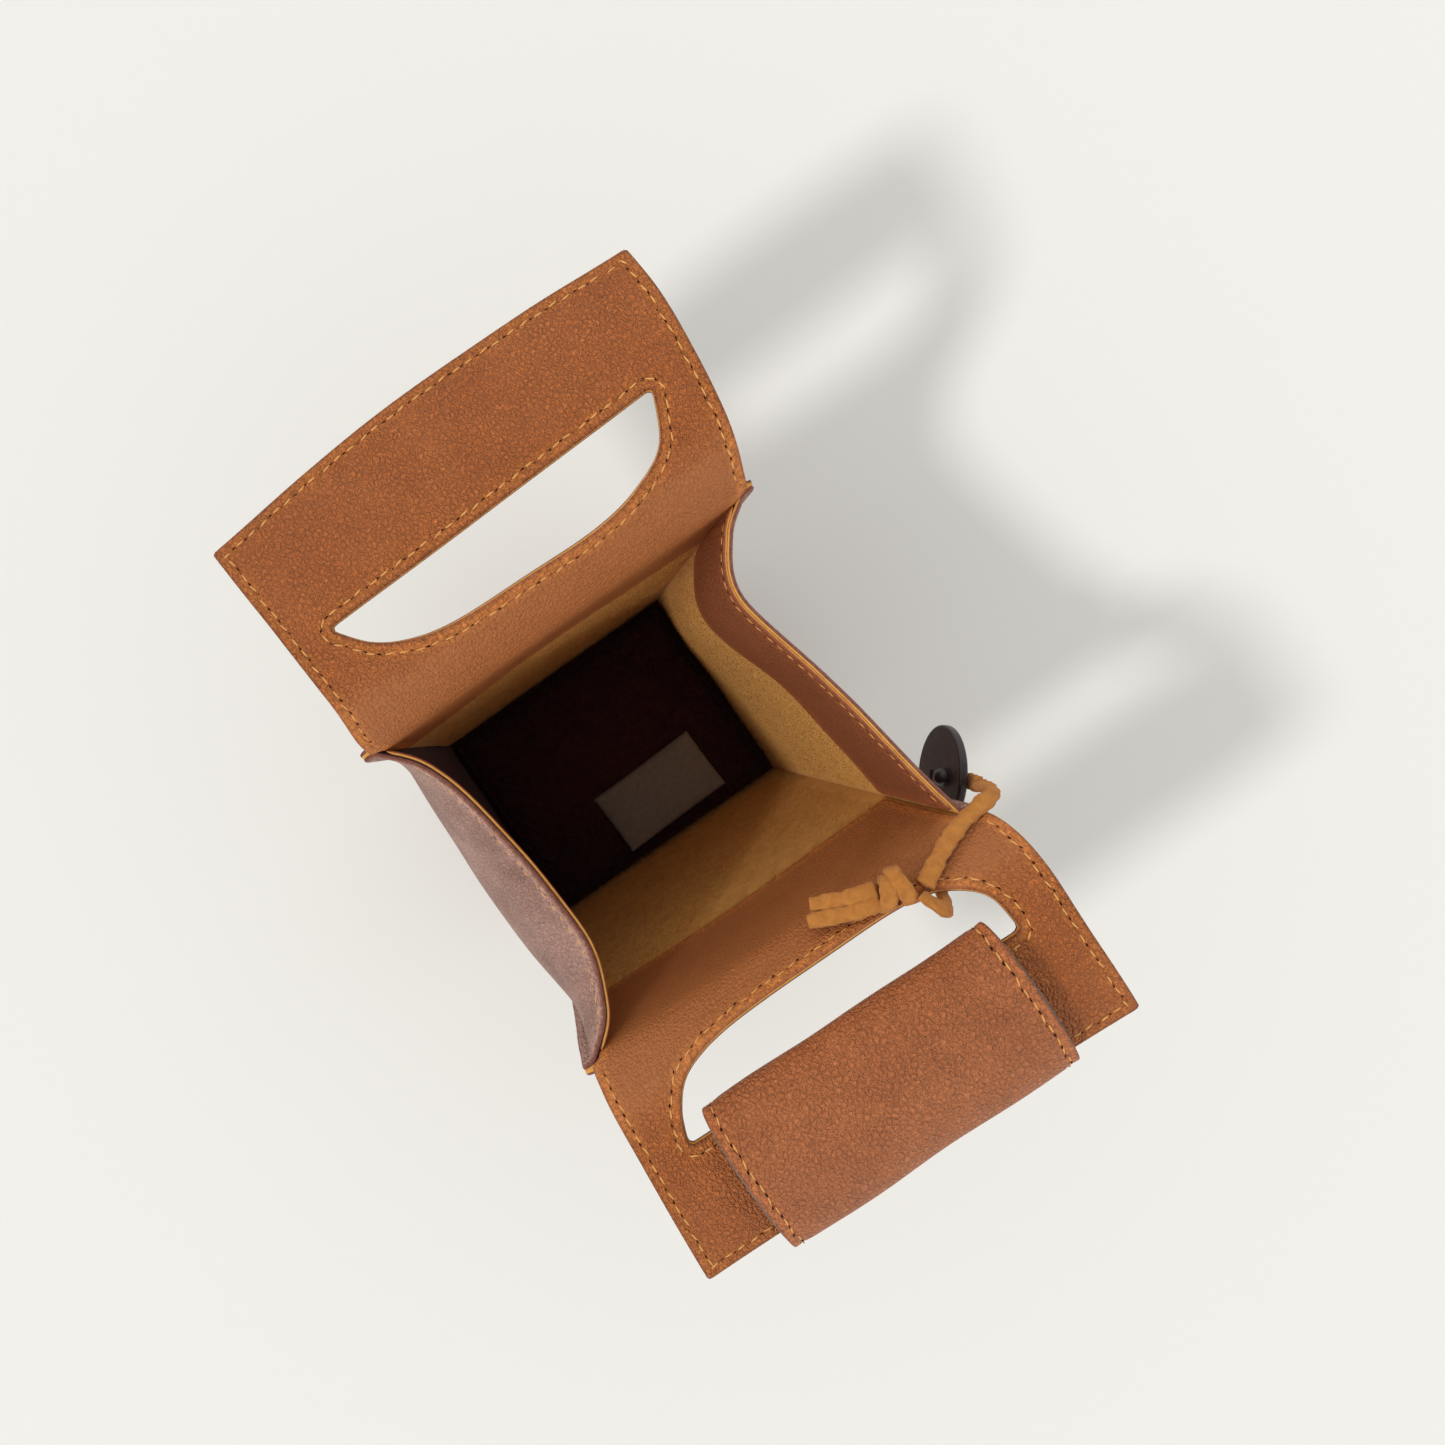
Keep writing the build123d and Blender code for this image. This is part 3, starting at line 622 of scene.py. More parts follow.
class Seam:
    """Stitch places gathered for one piece."""

    def __init__(self):
        self.at, self.along, self.up = [], [], []

    def row(self, place, line, height, pitch=STITCH_PITCH):
        """A row along a line in a surface's own coordinates, at a height off its middle."""
        flat = np.full(len(line), float(height))
        solid = place(line[:, 0], line[:, 1], flat)
        lifted = place(line[:, 0], line[:, 1], flat + (0.5 if height > 0 else -0.5))
        run = np.r_[0, np.cumsum(np.linalg.norm(np.diff(solid, axis=0), axis=1))]
        count = max(1, int(round(run[-1] / pitch)))
        order = np.arange(count)
        middles = (order + 0.5 + 0.09 * np.sin(order * 2.7)) * run[-1] / count

        def sample(values, shift=0.0):
            return np.stack([np.interp(middles + shift, run, values[:, i]) for i in range(3)], axis=1)

        here = sample(solid)
        ahead = sample(solid, 0.6) - sample(solid, -0.6)
        ahead /= np.linalg.norm(ahead, axis=1)[:, None] + 1e-9
        rise = sample(lifted) - here
        rise /= np.linalg.norm(rise, axis=1)[:, None] + 1e-9
        across = np.cross(rise, ahead)
        self.at.append(here + across * 0.14 * np.sin(order * 2.39 + 1)[:, None])
        self.along.append(ahead + across * (0.10 + 0.12 * np.sin(order * 4.1))[:, None])
        self.up.append(rise)

    def piece(self, name, tree, material, values, shift=0.0):
        at, along, up = (np.vstack(v) for v in (self.at, self.along, self.up))
        piece = new_piece(name, at + along * shift, [])
        for label, vectors in (("along", along), ("up", up)):
            attribute = piece.data.attributes.new(label, "FLOAT_VECTOR", "POINT")
            attribute.data.foreach_set("vector", vectors.astype(np.float32).ravel())
        return apply_tree(piece, tree, {**values, "Material": material})


def stitch_pieces(name, seam, trees, stuff):
    """Threads, and dark dots of painted shade standing for the holes the needle left between them."""
    threads = seam.piece(f"{name}_threads", trees["stitch"], stuff["thread"], {})
    hole = {"Length": 0.95 * MM, "Width": 0.42 * MM, "Height": 0.22 * MM}
    holes = seam.piece(f"{name}_needle_holes", trees["stitch"], stuff["needle_hole_shade"], hole,
                       shift=STITCH_PITCH / 2)
    return threads, holes


def make_flap_stitches(side, trees, stuff):
    place = face_place(side)
    seam = Seam()
    for row in flap_rows(side):
        seam.row(place, row, HALF - 0.26)
        seam.row(place, row, OUTER_FACE + 0.24)
    threads, holes = stitch_pieces(f"{LABEL[side]}_flap", seam, trees, stuff)
    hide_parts(f"{LABEL[side]}_flap_stitching")
    blend_at_mouth(threads)
    blend_at_mouth(holes)


def make_case_stitches(trees, stuff):
    """Rows down the four corner seams, and along both gusset rims."""
    seam = Seam()
    for side in (1, -1):
        place = face_place(side)
        s = np.linspace(-PROFILE[side][4] + 2.5, -2.5, 60)
        for hand in (1, -1):
            x = corner_x(hand, MOUTH_HIGH + s) + hand * SEAM_ROW
            seam.row(place, np.stack([x, s], 1), OUTER_FACE + 0.05)
    for hand in (1, -1):
        place = gusset_place(hand)
        seam.row(place, rim_row(), WALL - 0.26)
        seam.row(place, rim_row(), 0.24 - PLUMP)
    threads, holes = stitch_pieces("case", seam, trees, stuff)
    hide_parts("corner_stitching")
    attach(threads, "case")
    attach(holes, "case")


# ------------------------------------------------------------------ grip
GRIP_CROWN, GRIP_BELLY, GRIP_LEATHER = 7.8, 5.6, 1.5
grip_low, grip_high = (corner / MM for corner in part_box("grip_cover"))
GRIP_AT = Vector(((grip_low.x + grip_high.x) / 2, (grip_low.y + grip_high.y) / 2, grip_high.z - GRIP_CROWN))
GRIP_LONG, GRIP_WIDE = grip_high.x - grip_low.x, grip_high.y - grip_low.y
TUCK = {-1: math.radians(253), 1: math.radians(-86)}   # where the cover stops, on its lower bends


def grip_section():
    """The cover's outer line: run from the crown's top, and its place outwards and up."""
    half = GRIP_WIDE / 2
    bend = half - GRIP_BELLY
    left = [(-bend + GRIP_BELLY * math.cos(a), GRIP_BELLY * math.sin(a))
            for a in np.linspace(TUCK[-1], math.pi, 24)]
    crown = [(half * math.cos(a), GRIP_CROWN * math.sin(a)) for a in np.linspace(math.pi, 0, 80)]
    right = [(bend + GRIP_BELLY * math.cos(a), GRIP_BELLY * math.sin(a)) for a in np.linspace(0, TUCK[1], 24)]
    line = even(np.array(left + crown[1:-1] + right), 0.4)
    run = np.r_[0, np.cumsum(np.linalg.norm(np.diff(line, axis=0), axis=1))]
    return run - np.interp(0, line[:, 0][line[:, 1] > 0], run[line[:, 1] > 0]), line


GRIP_RUN, GRIP_LINE = grip_section()


def grip_place(x, r, n):
    """Maps length along the grip, run round it from the crown, and height off its outer face."""
    def spot(at):
        return np.stack([np.interp(at, GRIP_RUN, GRIP_LINE[:, i]) for i in (0, 1)], axis=1)

    here, ahead = spot(r), spot(r + 0.8) - spot(r - 0.8)
    ahead /= np.linalg.norm(ahead, axis=1)[:, None] + 1e-9
    crown = np.cos(np.clip(r / 30, -1, 1) * np.pi / 2)
    n = n + 0.35 * sway(x, r, 12.0) - 0.5 * crown * (np.abs(x) / 38.5) ** 6 + 0.25 * crown
    out = here[:, 0] - n * ahead[:, 1]
    up = here[:, 1] + n * ahead[:, 0]
    return np.stack([GRIP_AT.x + x, GRIP_AT.y - out, GRIP_AT.z + up], axis=1)


def make_grip(trees, stuff):
    """Leather wrapped over the strap, with its inner tab and end stitching."""
    half = GRIP_LONG / 2
    first, last = GRIP_RUN[0] + 0.1, GRIP_RUN[-1] - 0.1
    ends = [[(-half, first), (half, first)], [(half, first), (half - 0.5, 0), (half, last)],
            [(half, last), (-half, last)],
            [(-half, last), (-half + 0.5, 0), (-half, first)]]
    rows = []
    for hand in (-1, 1):
        r = np.linspace(first + 3, last - 3, 80)
        rows.append(np.stack([hand * (half - STITCH_INSET - 0.5 * np.cos(r / 30 * np.pi / 2)), r], axis=1))
    wrap = leather_sheet("grip_wrap", grip_place, outline(ends, 0.8), [], -GRIP_LEATHER, 0.0, 1.5,
                         dip_top=0.3, rows=rows)
    finish_piece(wrap, [stuff["grip"], stuff["suede"], stuff["raw_edge"]], ["grip_cover"])
    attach(wrap, "grip")
    tab_low = -3.6

    def tab_place(x, a, n):
        return np.stack([GRIP_AT.x + x, GRIP_AT.y - a, GRIP_AT.z + tab_low + n], axis=1)

    corners = [(-half + 0.5, -15.7), (half - 0.5, -15.7), (half - 0.5, -3), (-half + 0.5, -3)]
    tab = leather_sheet("grip_tab", tab_place,
                        outline(list(map(list, zip(corners, corners[1:] + corners[:1]))), 1.5), [],
                        0.0, 1.1, 3.0)
    finish_piece(tab, [stuff["grip"], stuff["suede"], stuff["raw_edge"]])
    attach(tab, "grip")
    seam = Seam()
    for row in rows:
        seam.row(grip_place, row, -0.2, pitch=3.3)
    threads, holes = stitch_pieces("grip", seam, trees, stuff)
    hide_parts("grip_stitching")
    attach(threads, "grip")
    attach(holes, "grip")


# ------------------------------------------------------------------ lace
LACE_RUN = ((48.8, -57.0, 139.8), (56.5, -54.3, 136.4), (64.5, -52.5, 133.1), (72.2, -52.3, 130.9),
            (76.0, -52.5, 129.4), (78.2, -52.7, 125.2), (78.7, -52.7, 118.0))
LACE_HITCH = ((78.7, -52.7, 116.8), (79.1, -52.8, 110.4), (79.1, -52.5, 107.2), (77.9, -51.6, 106.4))
LACE_LOOP = ((46.8, -58.0, 140.7), (48.4, -62.9, 143.4), (50.8, -64.5, 138.4), (53.0, -61.0, 132.4))
TAIL_LONG = ((38.4, -54.9, 138.6), (33.0, -54.0, 138.4), (27.5, -52.5, 135.8), (22.6, -51.2, 133.6))
TAIL_SHORT = ((39.4, -52.4, 137.4), (34.4, -51.2, 137.0), (29.4, -49.8, 134.4), (25.4, -48.8, 132.0))
KNOT_AT = Vector((43.0, -54.4, 138.4))


def spline_line(points):
    """Points of the smooth line that a route makes, in mm."""
    curve = bpy.data.curves.new("route", "CURVE")
    curve.dimensions = "3D"
    curve.resolution_u = 16
    spline = curve.splines.new("NURBS")
    spline.points.add(len(points) - 1)
    for point, place in zip(spline.points, points):
        point.co = (*(Vector(place) * MM), 1)
    spline.order_u = 3
    spline.use_endpoint_u = True
    holder = bpy.data.objects.new("route", curve)
    bpy.context.scene.collection.objects.link(holder)
    graph = bpy.context.evaluated_depsgraph_get()
    line = np.array([v.co[:] for v in bpy.data.meshes.new_from_object(holder.evaluated_get(graph)).vertices])
    bpy.data.objects.remove(holder)
    return line / MM


def lace_piece(name, line, flat_side, wide=LACE, thick=2.1, closed=False, taper=0.0):
    """A flat napped lace along a line, its broad side facing flat_side."""
    line = even(line, 0.45, closed=closed)
    count, around = len(line), 16
    if closed:
        ahead = np.roll(line, -1, axis=0) - np.roll(line, 1, axis=0)
    else:
        ahead = np.gradient(line, axis=0)
    ahead /= np.linalg.norm(ahead, axis=1)[:, None]
    broad = np.cross(ahead, np.broadcast_to(np.array(flat_side, float), ahead.shape))
    broad /= np.linalg.norm(broad, axis=1)[:, None]
    rise = np.cross(broad, ahead)
    angle = np.arange(around) * 2 * np.pi / around
    section = np.stack([np.sign(np.cos(angle)) * np.abs(np.cos(angle)) ** 0.6,
                        np.sign(np.sin(angle)) * np.abs(np.sin(angle)) ** 0.6], axis=1)
    run = np.arange(count) * 0.45
    swell = 1 + 0.06 * np.sin(run / 1.9) + 0.05 * np.sin(run / 0.83 + 1)
    if not closed:
        swell = swell * (1 - taper * np.clip((run - run[-1] + 4) / 4, 0, 1))
    ragged = 1 + 0.05 * np.sin(angle[None, :] * 3 + run[:, None] * 2.1) + 0.04 * np.sin(angle[None, :] * 5
        - run[:, None] * 3.7)
    wide_at = (wide / 2 * swell)[:, None] * ragged * section[None, :, 0]
    thick_at = (thick / 2 * swell)[:, None] * ragged * section[None, :, 1]
    places = line[:, None] + wide_at[..., None] * broad[:, None] + thick_at[..., None] * rise[:, None]
    places = places.reshape(-1, 3)
    rings = count if closed else count - 1
    faces = []
    for i in range(rings):
        j = (i + 1) % count
        for k in range(around):
            m = (k + 1) % around
            faces.append((i * around + k, i * around + m, j * around + m, j * around + k))
    if not closed:
        faces.append(tuple(range(around))[::-1])
        faces.append(tuple((count - 1) * around + k for k in range(around)))
    if np.sum(np.cross(wide_at[0, 0] * broad[0], thick_at[0, 4] * rise[0]) * ahead[0]) < 0:
        faces = [face[::-1] for face in faces]
    piece = new_piece(name, places, faces)
    add_map(piece, np.stack([np.repeat(run, around), np.tile(angle * 2, count)], axis=1) / 100)
    return piece


def join(name, pieces):
    """One piece made of several, with the first one's attributes."""
    with bpy.context.temp_override(active_object=pieces[0], selected_editable_objects=pieces):
        bpy.ops.object.join()
    pieces[0].name = pieces[0].data.name = name
    return pieces[0]


def knot_turn(centre, axis, tall, deep, tilt):
    """Closed line of one turn of the knot round an axis."""
    axis = Vector(axis).normalized()
    side = axis.cross(Vector((0, 0, 1))).normalized()
    up = side.cross(axis)
    angle = np.linspace(0, 2 * np.pi, 40, endpoint=False)
    lean = np.outer(np.cos(angle), np.array(axis)) * tilt
    return np.array(centre) + np.outer(np.cos(angle), np.array(side)) * tall + np.outer(np.sin(angle),
        np.array(up)) * deep + lean


def make_lace(stuff):
    up_flap = (0.1, 0.45, 0.9)
    path = spline_line(LACE_RUN)
    run = lace_piece("lace_run", path, up_flap)
    finish_piece(run, [stuff["lace"]], ["lace_strand", "lace_drop"])
    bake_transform(run)
    loop = lace_piece("lace_loop_band", spline_line(LACE_LOOP), (0.9, 0.1, 0.45))
    tails = [lace_piece("tail", spline_line(points), up_flap, taper=0.25)
             for points in (TAIL_LONG, TAIL_SHORT)]
    ends = join("lace_tails", tails)
    along = Vector((1.0, -0.25, 0.15))
    turns = []
    for move, tall, deep, tilt in (((1.6, 0, 0.3), 3.8, 2.4, 0.9), ((-1.9, 0.3, 0), 3.3, 2.1, -1.1)):
        line = knot_turn(KNOT_AT + Vector(move), along, tall, deep, tilt)
        turns.append(lace_piece("turn", line, along, wide=2.2, thick=3.9, closed=True))
    knot = join("lace_knot_turns", turns)
    for piece, node in ((loop, ["lace_loop"]), (ends, ["lace_tail_long", "lace_tail_short"]),
                        (knot, ["lace_knot"])):
        finish_piece(piece, [stuff["lace"]], node)
        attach(piece, "front_flap")
    hitch = lace_piece("lace_hitch_band", spline_line(LACE_HITCH), (0.6, -0.75, 0.1))
    finish_piece(hitch, [stuff["lace"]], ["lace_hitch"])
    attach(hitch, "toggle")


# ------------------------------------------------------------------ pad, nap and sachet
def grid_piece(name, places, across):
    """Open grid of places, row by row, as a mesh."""
    rows = len(places) // across
    faces = [(i * across + j, i * across + j + 1, (i + 1) * across + j + 1, (i + 1) * across + j)
             for i in range(rows - 1) for j in range(across - 1)]
    return new_piece(name, places, faces)


def fibres(name, emitters, tree, material, values):
    """Fibres grown from open surfaces, which are then gone."""
    hair = apply_tree(join(name, emitters) if len(emitters) > 1 else emitters[0], tree,
                      {**values, "Material": material})
    hair.name = hair.data.name = name
    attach(hair, "case")
    return hair


def soft_block(name, low, high, crown, bow, soften, flatten):
    """A cushion-like block: its sides bow in between the corners and its top is crowned."""
    nx, ny = 56, 44
    u, v = np.meshgrid(np.linspace(-1, 1, nx), np.linspace(-1, 1, ny))
    middle, half = (np.array(low) + np.array(high)) / 2, (np.array(high) - np.array(low)) / 2
    edge = np.clip((1 - np.maximum(np.abs(u), np.abs(v))) / soften, 0, 1)
    lift = np.sqrt(1 - (1 - edge) ** 2)
    x = middle[0] + u * half[0] * (1 - bow * (1 - v**2) * np.abs(u))
    y = middle[1] + v * half[1] * (1 - bow * (1 - u**2) * np.abs(v))
    top = low[2] + (high[2] - low[2] - crown) * (flatten + (1 - flatten) * lift) + crown * (1 - u**2) * (1
        - v**2)
    top = top + 0.12 * sway(x, y, 6.0) * lift
    over = np.stack([x, y, top], axis=-1).reshape(-1, 3)
    under = np.stack([x, y, np.full_like(x, low[2])], axis=-1).reshape(-1, 3)
    count = nx * ny
    quads = [(i * nx + j, i * nx + j + 1, (i + 1) * nx + j + 1, (i + 1) * nx + j) for i in range(ny - 1)
             for j in range(nx - 1)]
    ring = ([j for j in range(nx)] + [i * nx + nx - 1 for i in range(1, ny)]
            + [(ny - 1) * nx + j for j in range(nx - 2, -1, -1)] + [i * nx for i in range(ny - 2, 0, -1)])
    faces = quads + [tuple(k + count for k in q[::-1]) for q in quads]
    faces += [(b, a, a + count, b + count) for a, b in zip(ring, ring[1:] + ring[:1])]
    return new_piece(name, np.vstack([over, under]), faces)


def make_pad(trees, stuff):
    low, high = (np.array(corner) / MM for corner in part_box("base_pad"))
    nap = 0.9
    pad = soft_block("base_cushion", low, high - [0, 0, nap * 0.6], 0.5, 0.01, 0.08, 0.55)
    finish_piece(pad, [stuff["plush"]], ["base_pad"])
    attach(pad, "case")
    x, y = np.meshgrid(np.linspace(low[0] + 1, high[0] - 1, 30), np.linspace(low[1] + 1, high[1] - 1, 24))
    top = grid_piece("pile", np.stack([x, y, np.full_like(x, high[2] - nap)], -1).reshape(-1, 3), 30)
    count = 36000 if ROOMY else 9000
    area = (high[0] - low[0]) * (high[1] - low[1]) * MM * MM
    fibres("base_pad_pile", [top], trees["fibre"], stuff["plush"],
           {"Density": count / area, "Length": 1.7 * MM, "Radius": 0.14 * MM, "Lean": 0.55, "Seed": 5})
    edge = np.linspace(0, 1, 60)
    strips = []
    for axis, at, far in ((0, low[1], -1), (0, high[1], 1), (1, low[0], -1), (1, high[0], 1)):
        run = low[axis] + (high[axis] - low[axis]) * edge
        strip = np.zeros((2, 60, 3))
        strip[..., axis] = run
        strip[0, :, 1 - axis] = at
        strip[1, :, 1 - axis] = at - far * 1.5
        strip[0, :, 2] = high[2] - 2.2
        strip[1, :, 2] = high[2] - 0.6
        places = strip.reshape(-1, 3)
        strips.append(grid_piece("fringe", places, 60))
        strips[-1].data.flip_normals() if (far > 0) == (axis == 0) else None
    strip_area = 2 * 2.2 * (high[0] - low[0] + high[1] - low[1]) * MM * MM
    fibres("base_pad_fringe", strips, trees["fibre"], stuff["plush"],
           {"Density": (9000 if ROOMY else 3000) / strip_area, "Length": 3.2 * MM, "Radius": 0.16 * MM,
            "Lean": 0.6, "Seed": 8})


def make_nap(trees, stuff):
    """Suede fibres on the bare inner side of the walls and of the right gusset."""
    emitters = []
    for side in (1, -1):
        s = np.linspace(-PROFILE[side][4] + 8, -FACING_DEEP - 0.6, 30)
        share = np.linspace(0.03, 0.97, 40)
        left, right = corner_x(-1, MOUTH_HIGH + s) + 3, corner_x(1, MOUTH_HIGH + s) - 3
        x = left[:, None] + (right - left)[:, None] * share[None, :]
        places = face_place(side)(x.ravel(), np.repeat(s, 40), np.full(x.size, LAYER))
        emitters.append(grid_piece("nap", places, 40))
        emitters[-1].data.flip_normals() if side < 0 else None
    z = np.linspace(BASE_TOP + 8, WALL_TOP - FACING_DEEP - 1.5, 30)
    a, high = np.meshgrid(np.linspace(1.5, ACROSS - 1.5, 44), z)
    emitters.append(grid_piece("nap", gusset_place(1)(a.ravel(), high.ravel(), np.full(a.size, LEATHER)), 44))
    emitters[-1].data.flip_normals()
    density = 1.3e6 if ROOMY else 0.3e6
    fibres("suede_nap", emitters, trees["fibre"], stuff["nap"],
           {"Density": density, "Length": 1.1 * MM, "Radius": 0.09 * MM, "Lean": 1.3, "Seed": 11})


def make_sachet(stuff):
    low, high = (Vector(corner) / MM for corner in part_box("desiccant_sachet"))
    middle = (low + high) / 2
    turn = math.radians(2)
    long, wide = 46.0, 26.0
    sachet = soft_block("sachet_pillow", [-long / 2, -wide / 2, 0], [long / 2, wide / 2, high.z - low.z],
                        0.5, 0.012, 0.55, 0.16)
    sachet.data.transform(Matrix.Translation((middle.x * MM, middle.y * MM,
                                              low.z * MM)) @ Matrix.Rotation(turn, 4, "Z"))
    finish_piece(sachet, [stuff["paper"]], ["desiccant_sachet"])
    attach(sachet, "sachet")


# ------------------------------------------------------------------ materials
def tone(red, green, blue):
    """Linear colour from everyday 0 to 255 values."""
    return tuple(((c / 255 + 0.055) / 1.055) ** 2.4 if c > 10 else c / 3294.6
                 for c in (red, green, blue)) + (1.0,)


def put(tree, kind, inputs=None, **settings):
    """A node with its settings, and its inputs set or linked."""
    node = tree.nodes.new(kind)
    for name, value in settings.items():
        setattr(node, name, value)
    for name, value in (inputs or {}).items():
        if isinstance(value, bpy.types.NodeSocket):
            tree.links.new(value, node.inputs[name])
        else:
            node.inputs[name].default_value = value
    return node


def math_node(tree, operation, a, b=0.0, clamp=False):
    return put(tree, "ShaderNodeMath", {0: a, 1: b}, operation=operation, use_clamp=clamp).outputs[0]


def ramp(tree, value, low, high, out_low=0.0, out_high=1.0):
    node = put(tree, "ShaderNodeMapRange",
               {"Value": value, "From Min": low, "From Max": high, "To Min": out_low, "To Max": out_high})
    return node.outputs["Result"]


def mixed(tree, factor, a, b, blend="MIX"):
    node = put(tree, "ShaderNodeMix", {0: factor, 6: a, 7: b}, data_type="RGBA", blend_type=blend)
    return node.outputs[2]


def noise(tree, vector, scale, detail=3.0, rough=0.55, distort=0.0):
    values = {"Vector": vector, "Scale": scale, "Detail": detail, "Roughness": rough, "Distortion": distort}
    return put(tree, "ShaderNodeTexNoise", values).outputs["Fac"]


def new_group(name, inputs, outputs):
    group = bpy.data.node_groups.new(name, "ShaderNodeTree")
    for label, kind, value in inputs:
        item = group.interface.new_socket(label, in_out="INPUT", socket_type="NodeSocket" + kind)
        if value is not None:
            item.default_value = value
    for label, kind in outputs:
        group.interface.new_socket(label, in_out="OUTPUT", socket_type="NodeSocket" + kind)
    return group, group.nodes.new("NodeGroupInput"), group.nodes.new("NodeGroupOutput")


def grain_group():
    """Pebbled hide: cells of uneven size between sharp creases, with finer cells on them."""
    group, source, sink = new_group("hide grain", [("Vector", "Vector", None), ("Cells", "Float", 60.0)],
                                    [("Height", "Float"), ("Valley", "Float")])
    where, cells = source.outputs["Vector"], source.outputs["Cells"]
    warp = put(group, "ShaderNodeTexNoise", {"Vector": where, "Scale": 34.0, "Detail": 3.0})
    push = put(group, "ShaderNodeVectorMath", {0: warp.outputs["Color"], "Scale": 0.009}, operation="SCALE")
    moved = put(group, "ShaderNodeVectorMath", {0: where, 1: push.outputs[0]}).outputs[0]
    big = put(group, "ShaderNodeTexVoronoi", {"Vector": moved, "Scale": cells}, feature="DISTANCE_TO_EDGE")
    fine_cells = math_node(group, "MULTIPLY", cells, 2.1)
    small = put(group, "ShaderNodeTexVoronoi", {"Vector": moved, "Scale": fine_cells},
                feature="DISTANCE_TO_EDGE")
    patch = ramp(group, noise(group, where, 12.0, 3.0), 0.34, 0.66, 0.7, 1.0)
    top = ramp(group, big.outputs["Distance"], 0.0, 0.3)
    fine_top = ramp(group, small.outputs["Distance"], 0.0, 0.25)
    total = math_node(group, "ADD", math_node(group, "MULTIPLY", top, patch),
                      math_node(group, "MULTIPLY", fine_top, 0.35))
    total = math_node(group, "ADD", total, math_node(group, "MULTIPLY", noise(group, where, 240.0), 0.25))
    group.links.new(total, sink.inputs["Height"])
    crease = math_node(group, "MULTIPLY", math_node(group, "SUBTRACT", 1.0, top), patch)
    group.links.new(crease, sink.inputs["Valley"])
    return group


def crease_group():
    """Fine long creases that run along x of the piece's pattern."""
    group, source, sink = new_group("fine creases", [("Vector", "Vector", None)], [("Height", "Float")])
    long = put(group, "ShaderNodeMapping",
               {"Vector": source.outputs["Vector"], "Scale": (9.0, 80.0, 1.0)}).outputs[0]
    lines = noise(group, long, 1.0, 5.0, 0.6, 0.6)
    fine = noise(group, source.outputs["Vector"], 210.0, 2.0)
    total = math_node(group, "ADD", lines, math_node(group, "MULTIPLY", fine, 0.25))
    group.links.new(total, sink.inputs["Height"])
    return group


def blank(name, rough, specular=0.5, sheen=0.0, coat=0.0):
    """A material and its Principled shader, with what is the same all over."""
    material = bpy.data.materials.new(name)
    material.use_nodes = True
    tree = material.node_tree
    shader = tree.nodes["Principled BSDF"]
    shader.inputs["Roughness"].default_value = rough
    shader.inputs["Specular IOR Level"].default_value = specular
    shader.inputs["Sheen Weight"].default_value = sheen
    shader.inputs["Sheen Roughness"].default_value = 0.5
    shader.inputs["Coat Weight"].default_value = coat
    shader.inputs["Coat Roughness"].default_value = 0.35
    return material, tree, shader


def bump(tree, shader, height, strength, distance):
    node = put(tree, "ShaderNodeBump", {"Height": height, "Strength": strength, "Distance": distance})
    tree.links.new(node.outputs["Normal"], shader.inputs["Normal"])


def pattern_place(tree, on_piece):
    """The piece's own pattern map, or Object coordinates in the same unit of 100 mm."""
    if on_piece:
        return put(tree, "ShaderNodeUVMap", uv_map="lay").outputs["UV"]
    coordinates = put(tree, "ShaderNodeTexCoord").outputs["Object"]
    return put(tree, "ShaderNodeVectorMath", {0: coordinates, "Scale": 10.0}, operation="SCALE").outputs[0]


def value_of(tree, name):
    return put(tree, "ShaderNodeAttribute", attribute_name=name).outputs["Fac"]


